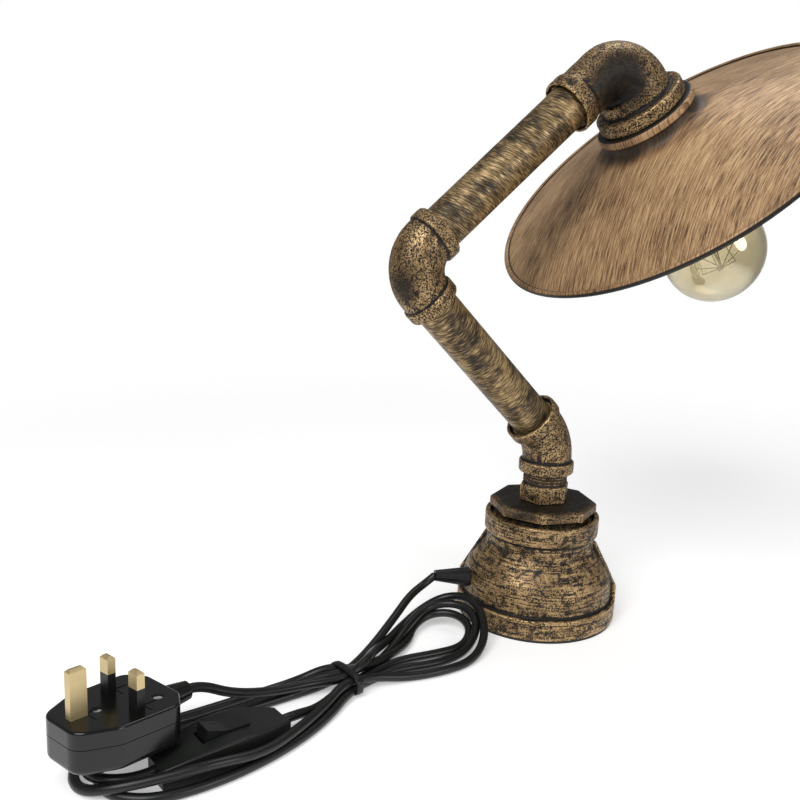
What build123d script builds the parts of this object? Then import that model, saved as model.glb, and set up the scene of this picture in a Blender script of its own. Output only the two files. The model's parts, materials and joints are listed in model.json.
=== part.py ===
from build123d import *
from dataclasses import dataclass
from math import acos, atan2, cos, degrees, hypot, pi, radians, sin, tan
import os

os.makedirs("parts", exist_ok=True)

# Industrial pipe table lamp, in millimetres. +Z is up and the origin is the middle of the
# foot, on the surface the lamp stands on. The arm is modelled in the pose it is set to.

# ---------------------------------------------------------------- pose of the arm, degrees
arm_heading = 26.8  # turn of the whole arm on the nipple, about Z
elbow_45_bend = 45.5  # the castings' bends as they are, a little off their nominal angles
elbow_90_bend = 94.1
head_elbow_bend = 90.0

# ---------------------------------------------------------------- pipes and their threads
pipe_radius = 12.5
pipe_bore_radius = 10.0
thread_radius = 12.2
nipple_thread_radius = 13.22  # three-quarter inch
nipple_bore_radius = 10.8
thread_depth = 12.0  # length of pipe thread inside a fitting
socket_depth = 12.5
seat_gap = 0.3  # between the end of the bare pipe and the fitting's shoulder
turning_gap = 0.05  # radial play in a threaded joint that can turn
lower_pipe_show = 97.8  # bare pipe between two fittings
upper_pipe_show = 102.8

# ---------------------------------------------------------------- cast fittings
mouth_depth = 2.6
casting_wall = 4.2
band_width = 7.4
band_fillet = 0.9
bend_spans = 6

elbow_45_reach = 21.4  # corner to face
elbow_45_body_radius = 15.4
elbow_45_band_radius = 17.2
elbow_45_mouth_radius = 15.1  # relief around the pipe at the mouth of the socket
elbow_45_tangent = 12.5  # corner to the start of the bend

elbow_90_reach = 29.5
elbow_90_body_radius = 14.7
elbow_90_bulge = 0.7
elbow_90_band_radius = 16.0
elbow_90_mouth_radius = 13.9
elbow_90_tangent = 21.1

head_inlet_reach = 42.7
head_inlet_body_radius = 15.1
head_inlet_band_radius = 16.3
head_inlet_band_width = 9.2
head_inlet_mouth_radius = 14.6
head_outlet_reach = 34.0
head_outlet_body_radius = 20.4
head_outlet_band_radius = 26.3
head_outlet_band_width = 8.2
head_outlet_bore_radius = 18.2
head_outlet_mouth_radius = 20.2
head_elbow_tangent = 18.2

# ---------------------------------------------------------------- foot
pad_thickness = 1.5
pad_inset = 1.0
plate_thickness = 3.0
plate_chamfer = 0.6
foot_radius = 51.0
foot_band_height = 13.0
foot_band_step = 3.3  # from the wide band in to the wall
foot_waist_radius = foot_radius - foot_band_step
foot_shoulder_low = 29.3  # where the wall would meet the cone without its round
foot_shoulder_high = 48.0
foot_shoulder_round = 24.0
foot_neck_round = 9.0
foot_top = 67.5
foot_top_band_radius = 36.0
foot_top_band_height = 12.0
foot_top_band_step = 1.9
foot_neck_radius = foot_top_band_radius - foot_top_band_step
foot_wall = 4.7
foot_bore_radius = foot_waist_radius - foot_wall
foot_bore_depth = 22.0
foot_bore_step = 2.3  # by which the bore has narrowed where the cone starts
foot_neck_wall = 5.1
foot_neck_bore_radius = foot_neck_radius - foot_neck_wall
foot_mouth_wall = 3.2
foot_mouth_radius = foot_top_band_radius - foot_mouth_wall  # relief around the bush's thread
foot_mouth_depth = 4.0
rib_width = 4.5
rib_inset = 0.1  # of a rib's face inside the wide band
rib_radius = foot_radius - rib_inset
rib_bend_height = 22.5
rib_top_height = 51.0
rib_top_step = 1.3
rib_top_radius = foot_neck_radius + rib_top_step
rib_overlap = 1.0  # of a rib with the wall and the band it stands on
rib_angles = (-14.0, 166.0)

bush_seat_gap = 2.3
bush_head_height = 6.2
bush_step = 2.25  # from the foot's top band in to the octagon's corners
bush_corner_radius = foot_top_band_radius - bush_step
bush_heading = -7.5
bush_thread_length = 13.0
bush_chamfer = 1.2

nipple_seat_gap = 0.4
nipple_hex_height = 10.8
nipple_across_flats = 28.0
nipple_heading = 13.8
nipple_chamfer = 0.8
nipple_thread_show = 7.4

# ---------------------------------------------------------------- shade
shade_radius = 116.5
shade_sheet = 0.8
shade_neck_height = 6.5  # from under the collar to the foot of the cone
shade_slope = 18.1  # of the cone, against the plane of the rim
shade_collar_radius = 29.8
shade_collar_height = 4.6
shade_collar_round = 2.2
shade_neck_radius = 28.2
shade_neck_round = 6.0
shade_crease = 0.9
shade_bead_radius = 1.9
shade_skirt = 2.5

# ---------------------------------------------------------------- lampholder
entry_radius = 5.0  # hollow M10 tube
entry_bore_radius = 3.6
entry_tail = 3.0
adapter_thickness = 3.0
locknut_across_flats = 14.0
locknut_height = 4.0
holder_radius = 19.5
holder_wall = 2.2
holder_cap_height = 15.0
holder_skirt_length = 26.0
insert_height = 3.0
insert_play = 0.1
screw_shell_radius = 13.75
screw_shell_wall = 0.4
screw_shell_length = 23.0
contact_radius = 4.0
contact_height = 1.5

# ---------------------------------------------------------------- bulb
bulb_cap_radius = 13.15
bulb_cap_length = 23.0
bulb_tip_radius = 5.0
bulb_tip_length = 2.4
bulb_cap_wall = 0.4
bulb_neck_radius = 14.0
bulb_neck_length = 3.0
bulb_radius = 32.2
bulb_end = 138.2  # collar face to the far end of the glass
bulb_glass_wall = 0.9
stem_radius = 6.0
stem_tip_radius = 2.4
stem_length = 34.0
mast_radius = 0.8
mast_length = 44.0
filament_wire = 0.35
filament_supports = 8
filament_far_radius = 15.0
filament_near_radius = 9.0
filament_rise = 7.0

# ---------------------------------------------------------------- mains plug, lying pins up
plug_x, plug_y, plug_face_height = -224.3, -200.9, 36.7  # the earth pin, where it meets the face
plug_heading = 51.6
plug_lean = 4.8
plug_base_depth = 8.0
plug_cover_depth = 12.3
plug_wall = 2.3
plug_seam = 0.3
plug_toe, plug_toe_half_width = -9.0, 12.5
plug_shoulder, plug_shoulder_half_width = 8.0, 21.3
plug_hip, plug_hip_half_width = 37.0, 22.3
plug_heel, plug_heel_half_width = 44.0, 12.0
plug_corner_rounds = (9.0, 9.0, 12.0, 6.0, 4.0, 4.0, 6.0, 12.0)
plug_face_round = 1.2
plug_back_round = 3.5
earth_pin_width, earth_pin_thickness = 4.0, 8.0
earth_pin_length = 22.7
line_pin_width, line_pin_thickness = 6.35, 4.0
line_pin_length = 17.7
line_pin_sleeve = 9.5
sleeve_wall = 0.45
pin_root = 6.0
pin_chamfer = 1.2
earth_to_line = 22.23
line_from_middle = 11.11
plug_gland_radius = 6.2
plug_gland_tip_radius = 4.6
plug_gland_length = 13.0
plug_screw_radius = 2.6
plug_screw_depth = 5.0
plug_screw_recess = 0.9
plug_screw_places = ((9.3, 0.0), (34.5, -9.0))
fuse_radius = 3.15
fuse_length = 25.4
fuse_offset = -13.0
fuse_start = 6.0
fuse_depth = 11.6
cord_grip_width = 18.0
cord_grip_length = 6.0
cord_grip_height = 4.0

# ---------------------------------------------------------------- inline switch
switch_x, switch_y = -168.6, -173.4
switch_heading = 40.5
switch_length = 66.0
switch_width = 27.0
switch_end_width = 15.0
switch_height = 15.6
switch_end_height = 10.5
switch_seam_height = 7.0
switch_seam = 0.2
switch_wall = 2.0
rocker_length = 22.0
rocker_width = 9.6
rocker_top = 18.4
rocker_dip = 1.7
rocker_shoulder = 12.0
rocker_foot_width = 6.0
rocker_foot = 9.2
rocker_pivot_height = 11.6
rocker_pin_radius = 1.2
rocker_pin_reach = 1.6
rocker_tilt = 11.0
rocker_play = 0.35
pivot_cheek = 2.6
contact_strip_length = 30.0
contact_strip_width = 5.0
contact_strip_gap = 3.0

# ---------------------------------------------------------------- cord
cord_radius = 2.5
bend_share = 0.45  # of the shorter run beside a corner, given to its arc
strain_length = 22.0
strain_root_radius = 6.2
strain_tip_radius = 3.4
strain_plug_radius = 4.0
strain_tip_wall = 3.0
strain_height = 25.5
strain_heading = 195.0
strain_rise = 6.0
strain_tail = 9.0  # length of the strain relief inside the foot
flex_entry = 29.0  # straight flex behind it
flex_overrun = 15.0  # of each turning part's flex into the pipe before it
hank_height = 12.4
loop_height = 24.4  # where the loops lean on the foot
loop_rise_start = 14.0  # along the hank, from the tie
loop_rise_end = 62.0
hank_ground_gap = 0.2
hank_corner_round = 6.0
hank_plug_side = (  # outline of the loops on either side of the tie, seen from above
    (-117.0, -96.0),
    (-168.0, -134.0),
    (-213.0, -171.0),
    (-231.0, -191.0),
    (-228.0, -206.0),
    (-208.0, -212.0),
    (-173.0, -205.0),
    (-134.0, -169.0),
    (-113.0, -123.0),
)
hank_foot_side = (
    (-118.0, -97.0),
    (-95.0, -50.0),
    (-79.0, -23.0),
    (-57.0, -12.0),
    (-34.0, -34.0),
    (-32.0, -56.0),
    (-48.0, -84.0),
    (-76.0, -104.0),
    (-112.0, -122.0),
)
lead_start = 14.0  # straight run that leaves the strain relief
lead_route = (
    (-85.5, -40.0, 20.5),
    (-90.5, -55.0, 13.4),
    (-98.0, -71.5, 9.4),
    (-106.7, -87.9, 7.5),
)
tail_start = 7.0  # straight run that leaves the plug
tail_route = ((-177.8, -145.2, 22.0), (-165.0, -138.8, 16.0), (-152.0, -128.0, 10.0))
tie_x, tie_y = -115.5, -109.0
tie_heading = 40.0
tie_length = 5.0
tie_span = 24.0
tie_height = 10.0
tie_thickness = 1.2
clearance = 0.3  # between pieces that lie beside each other

# ================================================================ places worked out from these
foot_band_top = pad_thickness + foot_band_height
foot_top_band_low = foot_top - foot_top_band_height
bush_low = foot_top + bush_seat_gap
bush_top = bush_low + bush_head_height
nipple_low = bush_top + nipple_seat_gap
elbow_low = nipple_low + nipple_hex_height + nipple_thread_show

lower_corner = Vector(0, 0, elbow_low + elbow_45_reach)
arm_turn = Axis((0, 0, 0), Vector(0, -1, 0).rotate(Axis.Z, arm_heading))  # all bends lie in one plane
lower_axis = Vector(0, 0, 1).rotate(arm_turn, elbow_45_bend)
upper_corner = lower_corner + lower_axis * (elbow_45_reach + lower_pipe_show + elbow_90_reach)
upper_axis = lower_axis.rotate(arm_turn, -elbow_90_bend)
head_corner = upper_corner + upper_axis * (elbow_90_reach + upper_pipe_show + head_inlet_reach)
shade_axis = upper_axis.rotate(arm_turn, -head_elbow_bend)
head_line = Axis(head_corner, shade_axis)

# Distances along the head's axis, from the corner of its elbow.
holder_low = head_outlet_reach + shade_sheet  # the cap clamps the shade to the elbow
insert_low = holder_low + holder_cap_height - insert_height
shell_low = insert_low + insert_height
bulb_tip = shell_low + contact_height
bulb_cap_low = bulb_tip + bulb_tip_length
bulb_glass_low = bulb_cap_low + bulb_cap_length
bulb_centre = head_outlet_reach + bulb_end - bulb_radius

strain_root = Vector(foot_waist_radius, 0, strain_height).rotate(Axis.Z, strain_heading)
strain_direction = Vector(cos(radians(strain_rise)), 0, sin(radians(strain_rise)))
strain_direction = strain_direction.rotate(Axis.Z, strain_heading)

plug_plane = Plane(
    origin=(plug_x, plug_y, plug_face_height),
    x_dir=Vector(1, 0, 0).rotate(Axis.Z, plug_heading),
    z_dir=Vector(0, sin(radians(plug_lean)), cos(radians(plug_lean))),
)
switch_plane = Plane(
    origin=(switch_x, switch_y, 0),
    x_dir=Vector(1, 0, 0).rotate(Axis.Z, switch_heading),
    z_dir=(0, 0, 1),
)
tie_plane = Plane(
    origin=(tie_x, tie_y, hank_ground_gap + tie_thickness + tie_height / 2),
    x_dir=Vector(0, -1, 0).rotate(Axis.Z, tie_heading),
    z_dir=Vector(1, 0, 0).rotate(Axis.Z, tie_heading),
)


off_axis = Vector(0.31, 0.9, 0.2)  # nothing on the lamp runs this way


def across(origin, direction):
    """Plane square to a direction at a point."""
    side = direction.cross(off_axis).normalized()
    return Plane(origin=origin, x_dir=side, z_dir=direction)


def profile(origin, direction):
    """Plane for a profile to revolve: x is the radius, y runs along the direction."""
    radial = across(origin, direction).x_dir
    return Plane(origin=origin, x_dir=radial, z_dir=radial.cross(direction))


head_plane = across(head_corner, shade_axis)
head_profile = profile(head_corner, shade_axis)


def rims_of(builder, *radii):
    """Round edges of a part that have one of the radii."""
    circles = builder.edges().filter_by(GeomType.CIRCLE)
    return circles.filter_by(lambda rim: any(abs(rim.radius - radius) < 0.01 for radius in radii))


def save(part, name):
    part.label = name
    export_step(part, f"parts/{name}.step")


# ================================================================ foot and column
def make_base_pad():
    with BuildPart() as base_pad:
        with BuildSketch(Plane.XY):
            Circle(foot_radius - pad_inset)
        extrude(amount=pad_thickness)
    save(base_pad.part, "base_pad")


def make_base_plate():
    with BuildPart() as base_plate:
        with BuildSketch(Plane.XY.offset(pad_thickness)):
            Circle(foot_bore_radius)
        extrude(amount=plate_thickness)
        chamfer(base_plate.faces().sort_by(Axis.Z)[-1].edges(), plate_chamfer)
    save(base_plate.part, "base_plate")


def make_reducing_socket():
    """Wide end down: two bands joined by a rounded cone, with two ribs down the seams."""
    bore_end = pad_thickness + foot_bore_depth
    rib_root = foot_neck_radius - rib_overlap
    rib_low = foot_band_top - rib_overlap
    with BuildPart() as reducing_socket:
        with BuildSketch(Plane.XZ):
            with BuildLine():
                wall_line = FilletPolyline(
                    (foot_waist_radius, foot_band_top),
                    (foot_waist_radius, foot_shoulder_low),
                    (foot_neck_radius, foot_shoulder_high),
                    (foot_neck_radius, foot_top_band_low),
                    radius=(foot_shoulder_round, foot_neck_round),
                )
                Polyline(wall_line @ 1, (0, foot_top_band_low), (0, foot_band_top), wall_line @ 0)
            make_face()
        revolve(axis=Axis.Z)
        with BuildSketch(Plane.XY.offset(pad_thickness)):
            Circle(foot_radius)
        extrude(amount=foot_band_height)
        with BuildSketch(Plane.XY.offset(foot_top_band_low)):
            Circle(foot_top_band_radius)
        extrude(amount=foot_top_band_height)
        fillet(rims_of(reducing_socket, foot_radius, foot_top_band_radius), band_fillet)

        for angle in rib_angles:
            rib_plane = Plane(
                origin=(0, 0, 0),
                x_dir=Vector(1, 0, 0).rotate(Axis.Z, angle),
                z_dir=Vector(0, -1, 0).rotate(Axis.Z, angle),
            )
            with BuildSketch(rib_plane):
                with BuildLine():
                    Polyline(
                        (rib_root, rib_low),
                        (rib_radius, rib_low),
                        (rib_radius, rib_bend_height),
                        (rib_top_radius, rib_top_height),
                        (rib_root, rib_top_height),
                        close=True,
                    )
                make_face()
            extrude(amount=rib_width / 2, both=True)

        with BuildSketch(Plane.XZ):
            with BuildLine():
                Polyline(
                    (0, pad_thickness),
                    (foot_bore_radius, pad_thickness),
                    (foot_bore_radius, bore_end),
                    (foot_bore_radius - foot_bore_step, foot_shoulder_low),
                    (foot_neck_bore_radius, foot_shoulder_high),
                    (foot_neck_bore_radius, foot_top - foot_mouth_depth),
                    (foot_mouth_radius, foot_top - foot_mouth_depth),
                    (foot_mouth_radius, foot_top),
                    (0, foot_top),
                    close=True,
                )
            make_face()
        revolve(axis=Axis.Z, mode=Mode.SUBTRACT)
        with BuildSketch(across(strain_root, strain_direction)):
            Circle(strain_plug_radius)
        extrude(amount=strain_tail, both=True, mode=Mode.SUBTRACT)
    save(reducing_socket.part, "reducing_socket")


def make_octagon_bush():
    with BuildPart() as octagon_bush:
        with BuildSketch(Plane.XY.offset(bush_low)):
            RegularPolygon(radius=bush_corner_radius, side_count=8, rotation=bush_heading)
        extrude(amount=bush_head_height)
        chamfer(octagon_bush.faces().sort_by(Axis.Z)[-1].edges(), bush_chamfer)
        with BuildSketch(Plane.XY.offset(bush_low)):
            Circle(foot_neck_bore_radius)
        extrude(amount=-bush_thread_length)
        with BuildSketch(Plane.XY.offset(bush_top)):
            Circle(nipple_thread_radius)
        extrude(amount=-bush_head_height - bush_thread_length, mode=Mode.SUBTRACT)
    save(octagon_bush.part, "octagon_bush")


def make_hex_nipple():
    nipple_end = bush_top - thread_depth
    nipple_length = elbow_low + thread_depth - nipple_end
    with BuildPart() as hex_nipple:
        with BuildSketch(Plane.XY.offset(nipple_low)):
            RegularPolygon(
                radius=nipple_across_flats / 2,
                side_count=6,
                major_radius=False,
                rotation=nipple_heading,
            )
        extrude(amount=nipple_hex_height)
        chamfer(hex_nipple.faces().sort_by(Axis.Z)[-1].edges(), nipple_chamfer)
        with BuildSketch(Plane.XY.offset(nipple_end)):
            Circle(nipple_thread_radius)
        extrude(amount=nipple_length)
        with BuildSketch(Plane.XY.offset(nipple_end)):
            Circle(nipple_bore_radius)
        extrude(amount=nipple_length, mode=Mode.SUBTRACT)
    save(hex_nipple.part, "hex_nipple")


# ================================================================ cast elbows and pipes
@dataclass
class Socket:
    """One end of a cast elbow, on the line from its corner out through the mouth."""

    direction: Vector
    reach: float
    body_radius: float
    band_radius: float
    mouth_radius: float
    bore_radius: float
    band_width: float = band_width


def make_elbow(name, corner, inlet, outlet, tangent, bulge=0.0):
    """Elbow lofted round its bend, with a band, a bore and a relieved mouth at each end."""
    turn = 180 - inlet.direction.get_angle(outlet.direction)
    normal = outlet.direction.cross(inlet.direction).normalized()
    centre_distance = tangent / sin(radians(turn / 2))
    centre = corner + (inlet.direction + outlet.direction).normalized() * centre_distance
    start = corner + inlet.direction * tangent

    def section(share):
        turned = Axis((0, 0, 0), normal)
        spoke = (start - centre).rotate(turned, turn * share)
        heading = (inlet.direction * -1).rotate(turned, turn * share)
        return Plane(origin=centre + spoke, x_dir=normal, z_dir=heading)

    def radius(share):
        taper = inlet.body_radius + (outlet.body_radius - inlet.body_radius) * share
        return taper + bulge * sin(pi * share)

    with BuildPart() as elbow:
        for step in range(bend_spans + 1):
            with BuildSketch(section(step / bend_spans)):
                Circle(radius(step / bend_spans))
        loft()
        for end in (inlet, outlet):
            with BuildSketch(across(corner + end.direction * tangent, end.direction)):
                Circle(end.body_radius)
            extrude(amount=end.reach - tangent)
            with BuildSketch(across(corner + end.direction * end.reach, end.direction)):
                Circle(end.band_radius)
            extrude(amount=-end.band_width)
        fillet(rims_of(elbow, inlet.band_radius, outlet.band_radius), band_fillet)
        for step in range(bend_spans + 1):
            with BuildSketch(section(step / bend_spans)):
                Circle(radius(step / bend_spans) - casting_wall)
        loft(mode=Mode.SUBTRACT)
        for end in (inlet, outlet):
            mouth = across(corner + end.direction * end.reach, end.direction)
            with BuildSketch(mouth):
                Circle(end.body_radius - casting_wall)
            extrude(amount=tangent - end.reach, mode=Mode.SUBTRACT)
            with BuildSketch(mouth):
                Circle(end.bore_radius)
            extrude(amount=-socket_depth, mode=Mode.SUBTRACT)
            with BuildSketch(mouth):
                Circle(end.mouth_radius)
            extrude(amount=-mouth_depth, mode=Mode.SUBTRACT)
    save(elbow.part, name)


def make_pipe(name, face, direction, show):
    """Pipe from one fitting's face to the next, with a turned-down thread at each end."""
    length = show + 2 * thread_depth
    bare_end = mouth_depth - seat_gap
    with BuildPart() as pipe:
        with BuildSketch(across(face - direction * thread_depth, direction)):
            Circle(thread_radius)
            Circle(pipe_bore_radius, mode=Mode.SUBTRACT)
        extrude(amount=length)
        with BuildSketch(across(face - direction * bare_end, direction)):
            Circle(pipe_radius)
            Circle(pipe_bore_radius, mode=Mode.SUBTRACT)
        extrude(amount=show + 2 * bare_end)
    save(pipe.part, name)


def make_arm():
    """Fittings and pipes from the nipple to the shade; each inlet turns on the thread in it."""
    small = (elbow_45_reach, elbow_45_body_radius, elbow_45_band_radius, elbow_45_mouth_radius)
    large = (elbow_90_reach, elbow_90_body_radius, elbow_90_band_radius, elbow_90_mouth_radius)
    nipple_fit = nipple_thread_radius + turning_gap
    pipe_fit = thread_radius + turning_gap
    make_elbow(
        "elbow_45",
        lower_corner,
        Socket(Vector(0, 0, -1), *small, nipple_fit),
        Socket(lower_axis, *small, thread_radius),
        elbow_45_tangent,
    )
    make_pipe("lower_pipe", lower_corner + lower_axis * elbow_45_reach, lower_axis, lower_pipe_show)
    make_elbow(
        "elbow_90",
        upper_corner,
        Socket(lower_axis * -1, *large, pipe_fit),
        Socket(upper_axis, *large, thread_radius),
        elbow_90_tangent,
        elbow_90_bulge,
    )
    make_pipe("upper_pipe", upper_corner + upper_axis * elbow_90_reach, upper_axis, upper_pipe_show)
    make_elbow(
        "reducing_elbow",
        head_corner,
        Socket(
            upper_axis * -1,
            head_inlet_reach,
            head_inlet_body_radius,
            head_inlet_band_radius,
            head_inlet_mouth_radius,
            pipe_fit,
            head_inlet_band_width,
        ),
        Socket(
            shade_axis,
            head_outlet_reach,
            head_outlet_body_radius,
            head_outlet_band_radius,
            head_outlet_mouth_radius,
            head_outlet_bore_radius,
            head_outlet_band_width,
        ),
        head_elbow_tangent,
    )


# ================================================================ shade and lampholder
def make_shade():
    """Spun cone with a raised collar, a rolled bead at the rim and a short skirt below it."""
    collar_low = head_outlet_reach + shade_collar_height
    neck_low = collar_low + shade_neck_height
    edge_radius = shade_radius - shade_bead_radius
    edge_low = neck_low + (edge_radius - shade_neck_radius) * tan(radians(shade_slope))
    rim = edge_low + shade_skirt
    with BuildPart() as shade:
        with BuildSketch(head_profile):
            with BuildLine():
                FilletPolyline(
                    (entry_radius, head_outlet_reach),
                    (shade_collar_radius, head_outlet_reach),
                    (shade_collar_radius, collar_low),
                    (shade_neck_radius, collar_low + shade_crease),
                    (shade_neck_radius, neck_low),
                    (edge_radius, edge_low),
                    (edge_radius, rim),
                    radius=(
                        shade_collar_round,
                        shade_crease,
                        shade_crease,
                        shade_neck_round,
                        shade_crease,
                    ),
                )
                offset(amount=shade_sheet, side=Side.LEFT)
            make_face()
        revolve(axis=head_line)
        with BuildSketch(head_profile):
            with Locations((edge_radius, edge_low)):
                Circle(shade_bead_radius)
        revolve(axis=head_line)
    save(shade.part, "shade")


def make_holder_mounting():
    """Adapter disc in the elbow's mouth, the hollow tube through it and the tube's locknut."""
    disc_low = head_outlet_reach - adapter_thickness
    nut_low = disc_low - locknut_height
    with BuildPart() as adapter_disc:
        with BuildSketch(head_plane.offset(disc_low)):
            Circle(head_outlet_bore_radius)
            Circle(entry_radius, mode=Mode.SUBTRACT)
        extrude(amount=adapter_thickness)
    save(adapter_disc.part, "adapter_disc")

    with BuildPart() as entry_locknut:
        with BuildSketch(head_plane.offset(nut_low)):
            RegularPolygon(radius=locknut_across_flats / 2, side_count=6, major_radius=False)
            Circle(entry_radius, mode=Mode.SUBTRACT)
        extrude(amount=locknut_height)
    save(entry_locknut.part, "entry_locknut")

    tube_low = nut_low - entry_tail
    with BuildPart() as entry_tube:
        with BuildSketch(head_plane.offset(tube_low)):
            Circle(entry_radius)
            Circle(entry_bore_radius, mode=Mode.SUBTRACT)
        extrude(amount=holder_low + holder_wall + entry_tail - tube_low)
    save(entry_tube.part, "entry_tube")


def make_lampholder():
    cap_end = holder_low + holder_cap_height
    with BuildPart() as holder_cap:
        with BuildSketch(head_profile):
            with BuildLine():
                FilletPolyline(
                    (entry_radius, holder_low),
                    (holder_radius / 2, holder_low),
                    (holder_radius, holder_low + holder_radius / 2),
                    (holder_radius, cap_end),
                    radius=(holder_wall, holder_wall * 2),
                )
                offset(amount=holder_wall, side=Side.LEFT)
            make_face()
        revolve(axis=head_line)
    save(holder_cap.part, "holder_cap")

    with BuildPart() as holder_skirt:
        with BuildSketch(head_plane.offset(cap_end)):
            Circle(holder_radius)
            Circle(holder_radius - holder_wall, mode=Mode.SUBTRACT)
        extrude(amount=holder_skirt_length)
        fillet(holder_skirt.faces().sort_by(head_line)[-1].edges(), holder_wall / 3)
    save(holder_skirt.part, "holder_skirt")

    with BuildPart() as holder_insert:
        with BuildSketch(head_plane.offset(insert_low)):
            Circle(holder_radius - holder_wall - insert_play)
        extrude(amount=insert_height)
    save(holder_insert.part, "holder_insert")

    with BuildPart() as screw_shell:
        with BuildSketch(head_plane.offset(shell_low)):
            Circle(screw_shell_radius)
            Circle(screw_shell_radius - screw_shell_wall, mode=Mode.SUBTRACT)
        extrude(amount=screw_shell_length)
    save(screw_shell.part, "screw_shell")

    with BuildPart() as centre_contact:
        with BuildSketch(head_plane.offset(shell_low)):
            Circle(contact_radius)
        extrude(amount=contact_height)
    save(centre_contact.part, "centre_contact")


def make_bulb():
    with BuildPart() as bulb_cap:
        with BuildSketch(head_profile):
            with BuildLine():
                Polyline(
                    (0, bulb_tip),
                    (bulb_tip_radius, bulb_tip),
                    (bulb_cap_radius, bulb_cap_low),
                    (bulb_cap_radius, bulb_glass_low),
                    (bulb_cap_radius - bulb_cap_wall, bulb_glass_low),
                    (bulb_cap_radius - bulb_cap_wall, bulb_cap_low + bulb_cap_wall),
                    (0, bulb_cap_low + bulb_cap_wall),
                    close=True,
                )
            make_face()
        revolve(axis=head_line)
    save(bulb_cap.part, "bulb_cap")

    # The side of the glass runs straight from the neck until it is tangent to the round end.
    neck_end = bulb_glass_low + bulb_neck_length
    neck_distance = hypot(bulb_neck_radius, neck_end - bulb_centre)
    neck_angle = degrees(atan2(neck_end - bulb_centre, bulb_neck_radius))
    tangent_angle = neck_angle + degrees(acos(bulb_radius / neck_distance))
    with BuildPart() as bulb_glass:
        with BuildSketch(head_profile):
            with BuildLine():
                end_arc = CenterArc((0, bulb_centre), bulb_radius, tangent_angle, 90 - tangent_angle)
                Polyline(
                    (bulb_cap_radius - bulb_cap_wall, bulb_glass_low),
                    (bulb_neck_radius, neck_end),
                    end_arc @ 0,
                )
                offset(amount=bulb_glass_wall, side=Side.LEFT)
            make_face()
        revolve(axis=head_line)
    save(bulb_glass.part, "bulb_glass")

    with BuildPart() as bulb_stem:
        with BuildSketch(head_profile):
            with BuildLine():
                Polyline(
                    (0, bulb_glass_low),
                    (stem_radius, bulb_glass_low),
                    (stem_tip_radius, bulb_glass_low + stem_length / 2),
                    (stem_tip_radius, bulb_glass_low + stem_length),
                    (0, bulb_glass_low + stem_length),
                    close=True,
                )
            make_face()
        revolve(axis=head_line)
    save(bulb_stem.part, "bulb_stem")

    # A mast with two stars of supports, and the wire drawn up and down between them.
    mast_low = bulb_glass_low + stem_length
    mast_end = mast_low + mast_length
    with BuildPart() as filament_cage:
        with BuildSketch(head_plane.offset(mast_low)):
            Circle(mast_radius)
        extrude(amount=mast_length)
        for support in range(filament_supports):
            spoke = head_plane.x_dir.rotate(
                Axis((0, 0, 0), shade_axis), 360 * support / filament_supports
            )
            far_hub = head_corner + shade_axis * (mast_end - mast_radius)
            far_tip = far_hub + spoke * filament_far_radius - shade_axis * filament_rise
            near_hub = head_corner + shade_axis * (mast_low + mast_radius)
            near_tip = near_hub + spoke * filament_near_radius + shade_axis * filament_rise
            for first, last in ((far_hub, far_tip), (far_tip, near_tip), (near_tip, near_hub)):
                with BuildSketch(across(first, (last - first).normalized())):
                    Circle(filament_wire)
                extrude(amount=(last - first).length)
    save(filament_cage.part, "filament_cage")


# ================================================================ mains plug
def plug_outline(grow=0.0):
    """The plug's outline, to add to a sketch on one of its planes."""
    corners = (
        (plug_toe, -plug_toe_half_width),
        (plug_toe, plug_toe_half_width),
        (plug_shoulder, plug_shoulder_half_width),
        (plug_hip, plug_hip_half_width),
        (plug_heel, plug_heel_half_width),
        (plug_heel, -plug_heel_half_width),
        (plug_hip, -plug_hip_half_width),
        (plug_shoulder, -plug_shoulder_half_width),
    )
    with BuildSketch(Plane.XY) as outline:
        with BuildLine():
            FilletPolyline(*corners, radius=plug_corner_rounds, close=True)
        make_face()
        if grow:
            offset(amount=grow, mode=Mode.REPLACE)
    return outline.sketch


def line_pin_places():
    return ((earth_to_line, line_from_middle), (earth_to_line, -line_from_middle))


def make_plug_shells():
    seam_low = -plug_base_depth
    with BuildPart() as plug_base:
        with BuildSketch(plug_plane.offset(seam_low)):
            add(plug_outline())
        extrude(amount=plug_base_depth)
        face = plug_base.faces().sort_by(Axis(plug_plane.origin, plug_plane.z_dir))[-1]
        fillet(face.edges(), plug_face_round)
        with BuildSketch(plug_plane.offset(seam_low)):
            add(plug_outline(-plug_wall))
        extrude(amount=plug_base_depth - plug_wall, mode=Mode.SUBTRACT)
        with BuildSketch(plug_plane):
            Rectangle(earth_pin_thickness, earth_pin_width)
            with Locations(*line_pin_places()):
                Rectangle(line_pin_thickness, line_pin_width)
        extrude(amount=-plug_base_depth, mode=Mode.SUBTRACT)
        with BuildSketch(plug_plane):
            with Locations(*plug_screw_places):
                Circle(plug_screw_radius)
        extrude(amount=-plug_base_depth, mode=Mode.SUBTRACT)
        with BuildSketch(gland_plane()):
            Circle(cord_radius)
        extrude(amount=-2 * plug_wall, mode=Mode.SUBTRACT)
    save(plug_base.part, "plug_base")

    with BuildPart() as plug_cover:
        with BuildSketch(plug_plane.offset(seam_low - plug_seam)):
            add(plug_outline())
        extrude(amount=-plug_cover_depth)
        back = plug_cover.faces().sort_by(Axis(plug_plane.origin, plug_plane.z_dir))[0]
        fillet(back.edges(), plug_back_round)
        with BuildSketch(plug_plane.offset(seam_low - plug_seam)):
            add(plug_outline(-plug_wall))
        extrude(amount=plug_wall - plug_cover_depth, mode=Mode.SUBTRACT)
        with BuildSketch(gland_plane()):
            Circle(cord_radius)
        extrude(amount=-2 * plug_wall, mode=Mode.SUBTRACT)
    save(plug_cover.part, "plug_cover")


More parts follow.
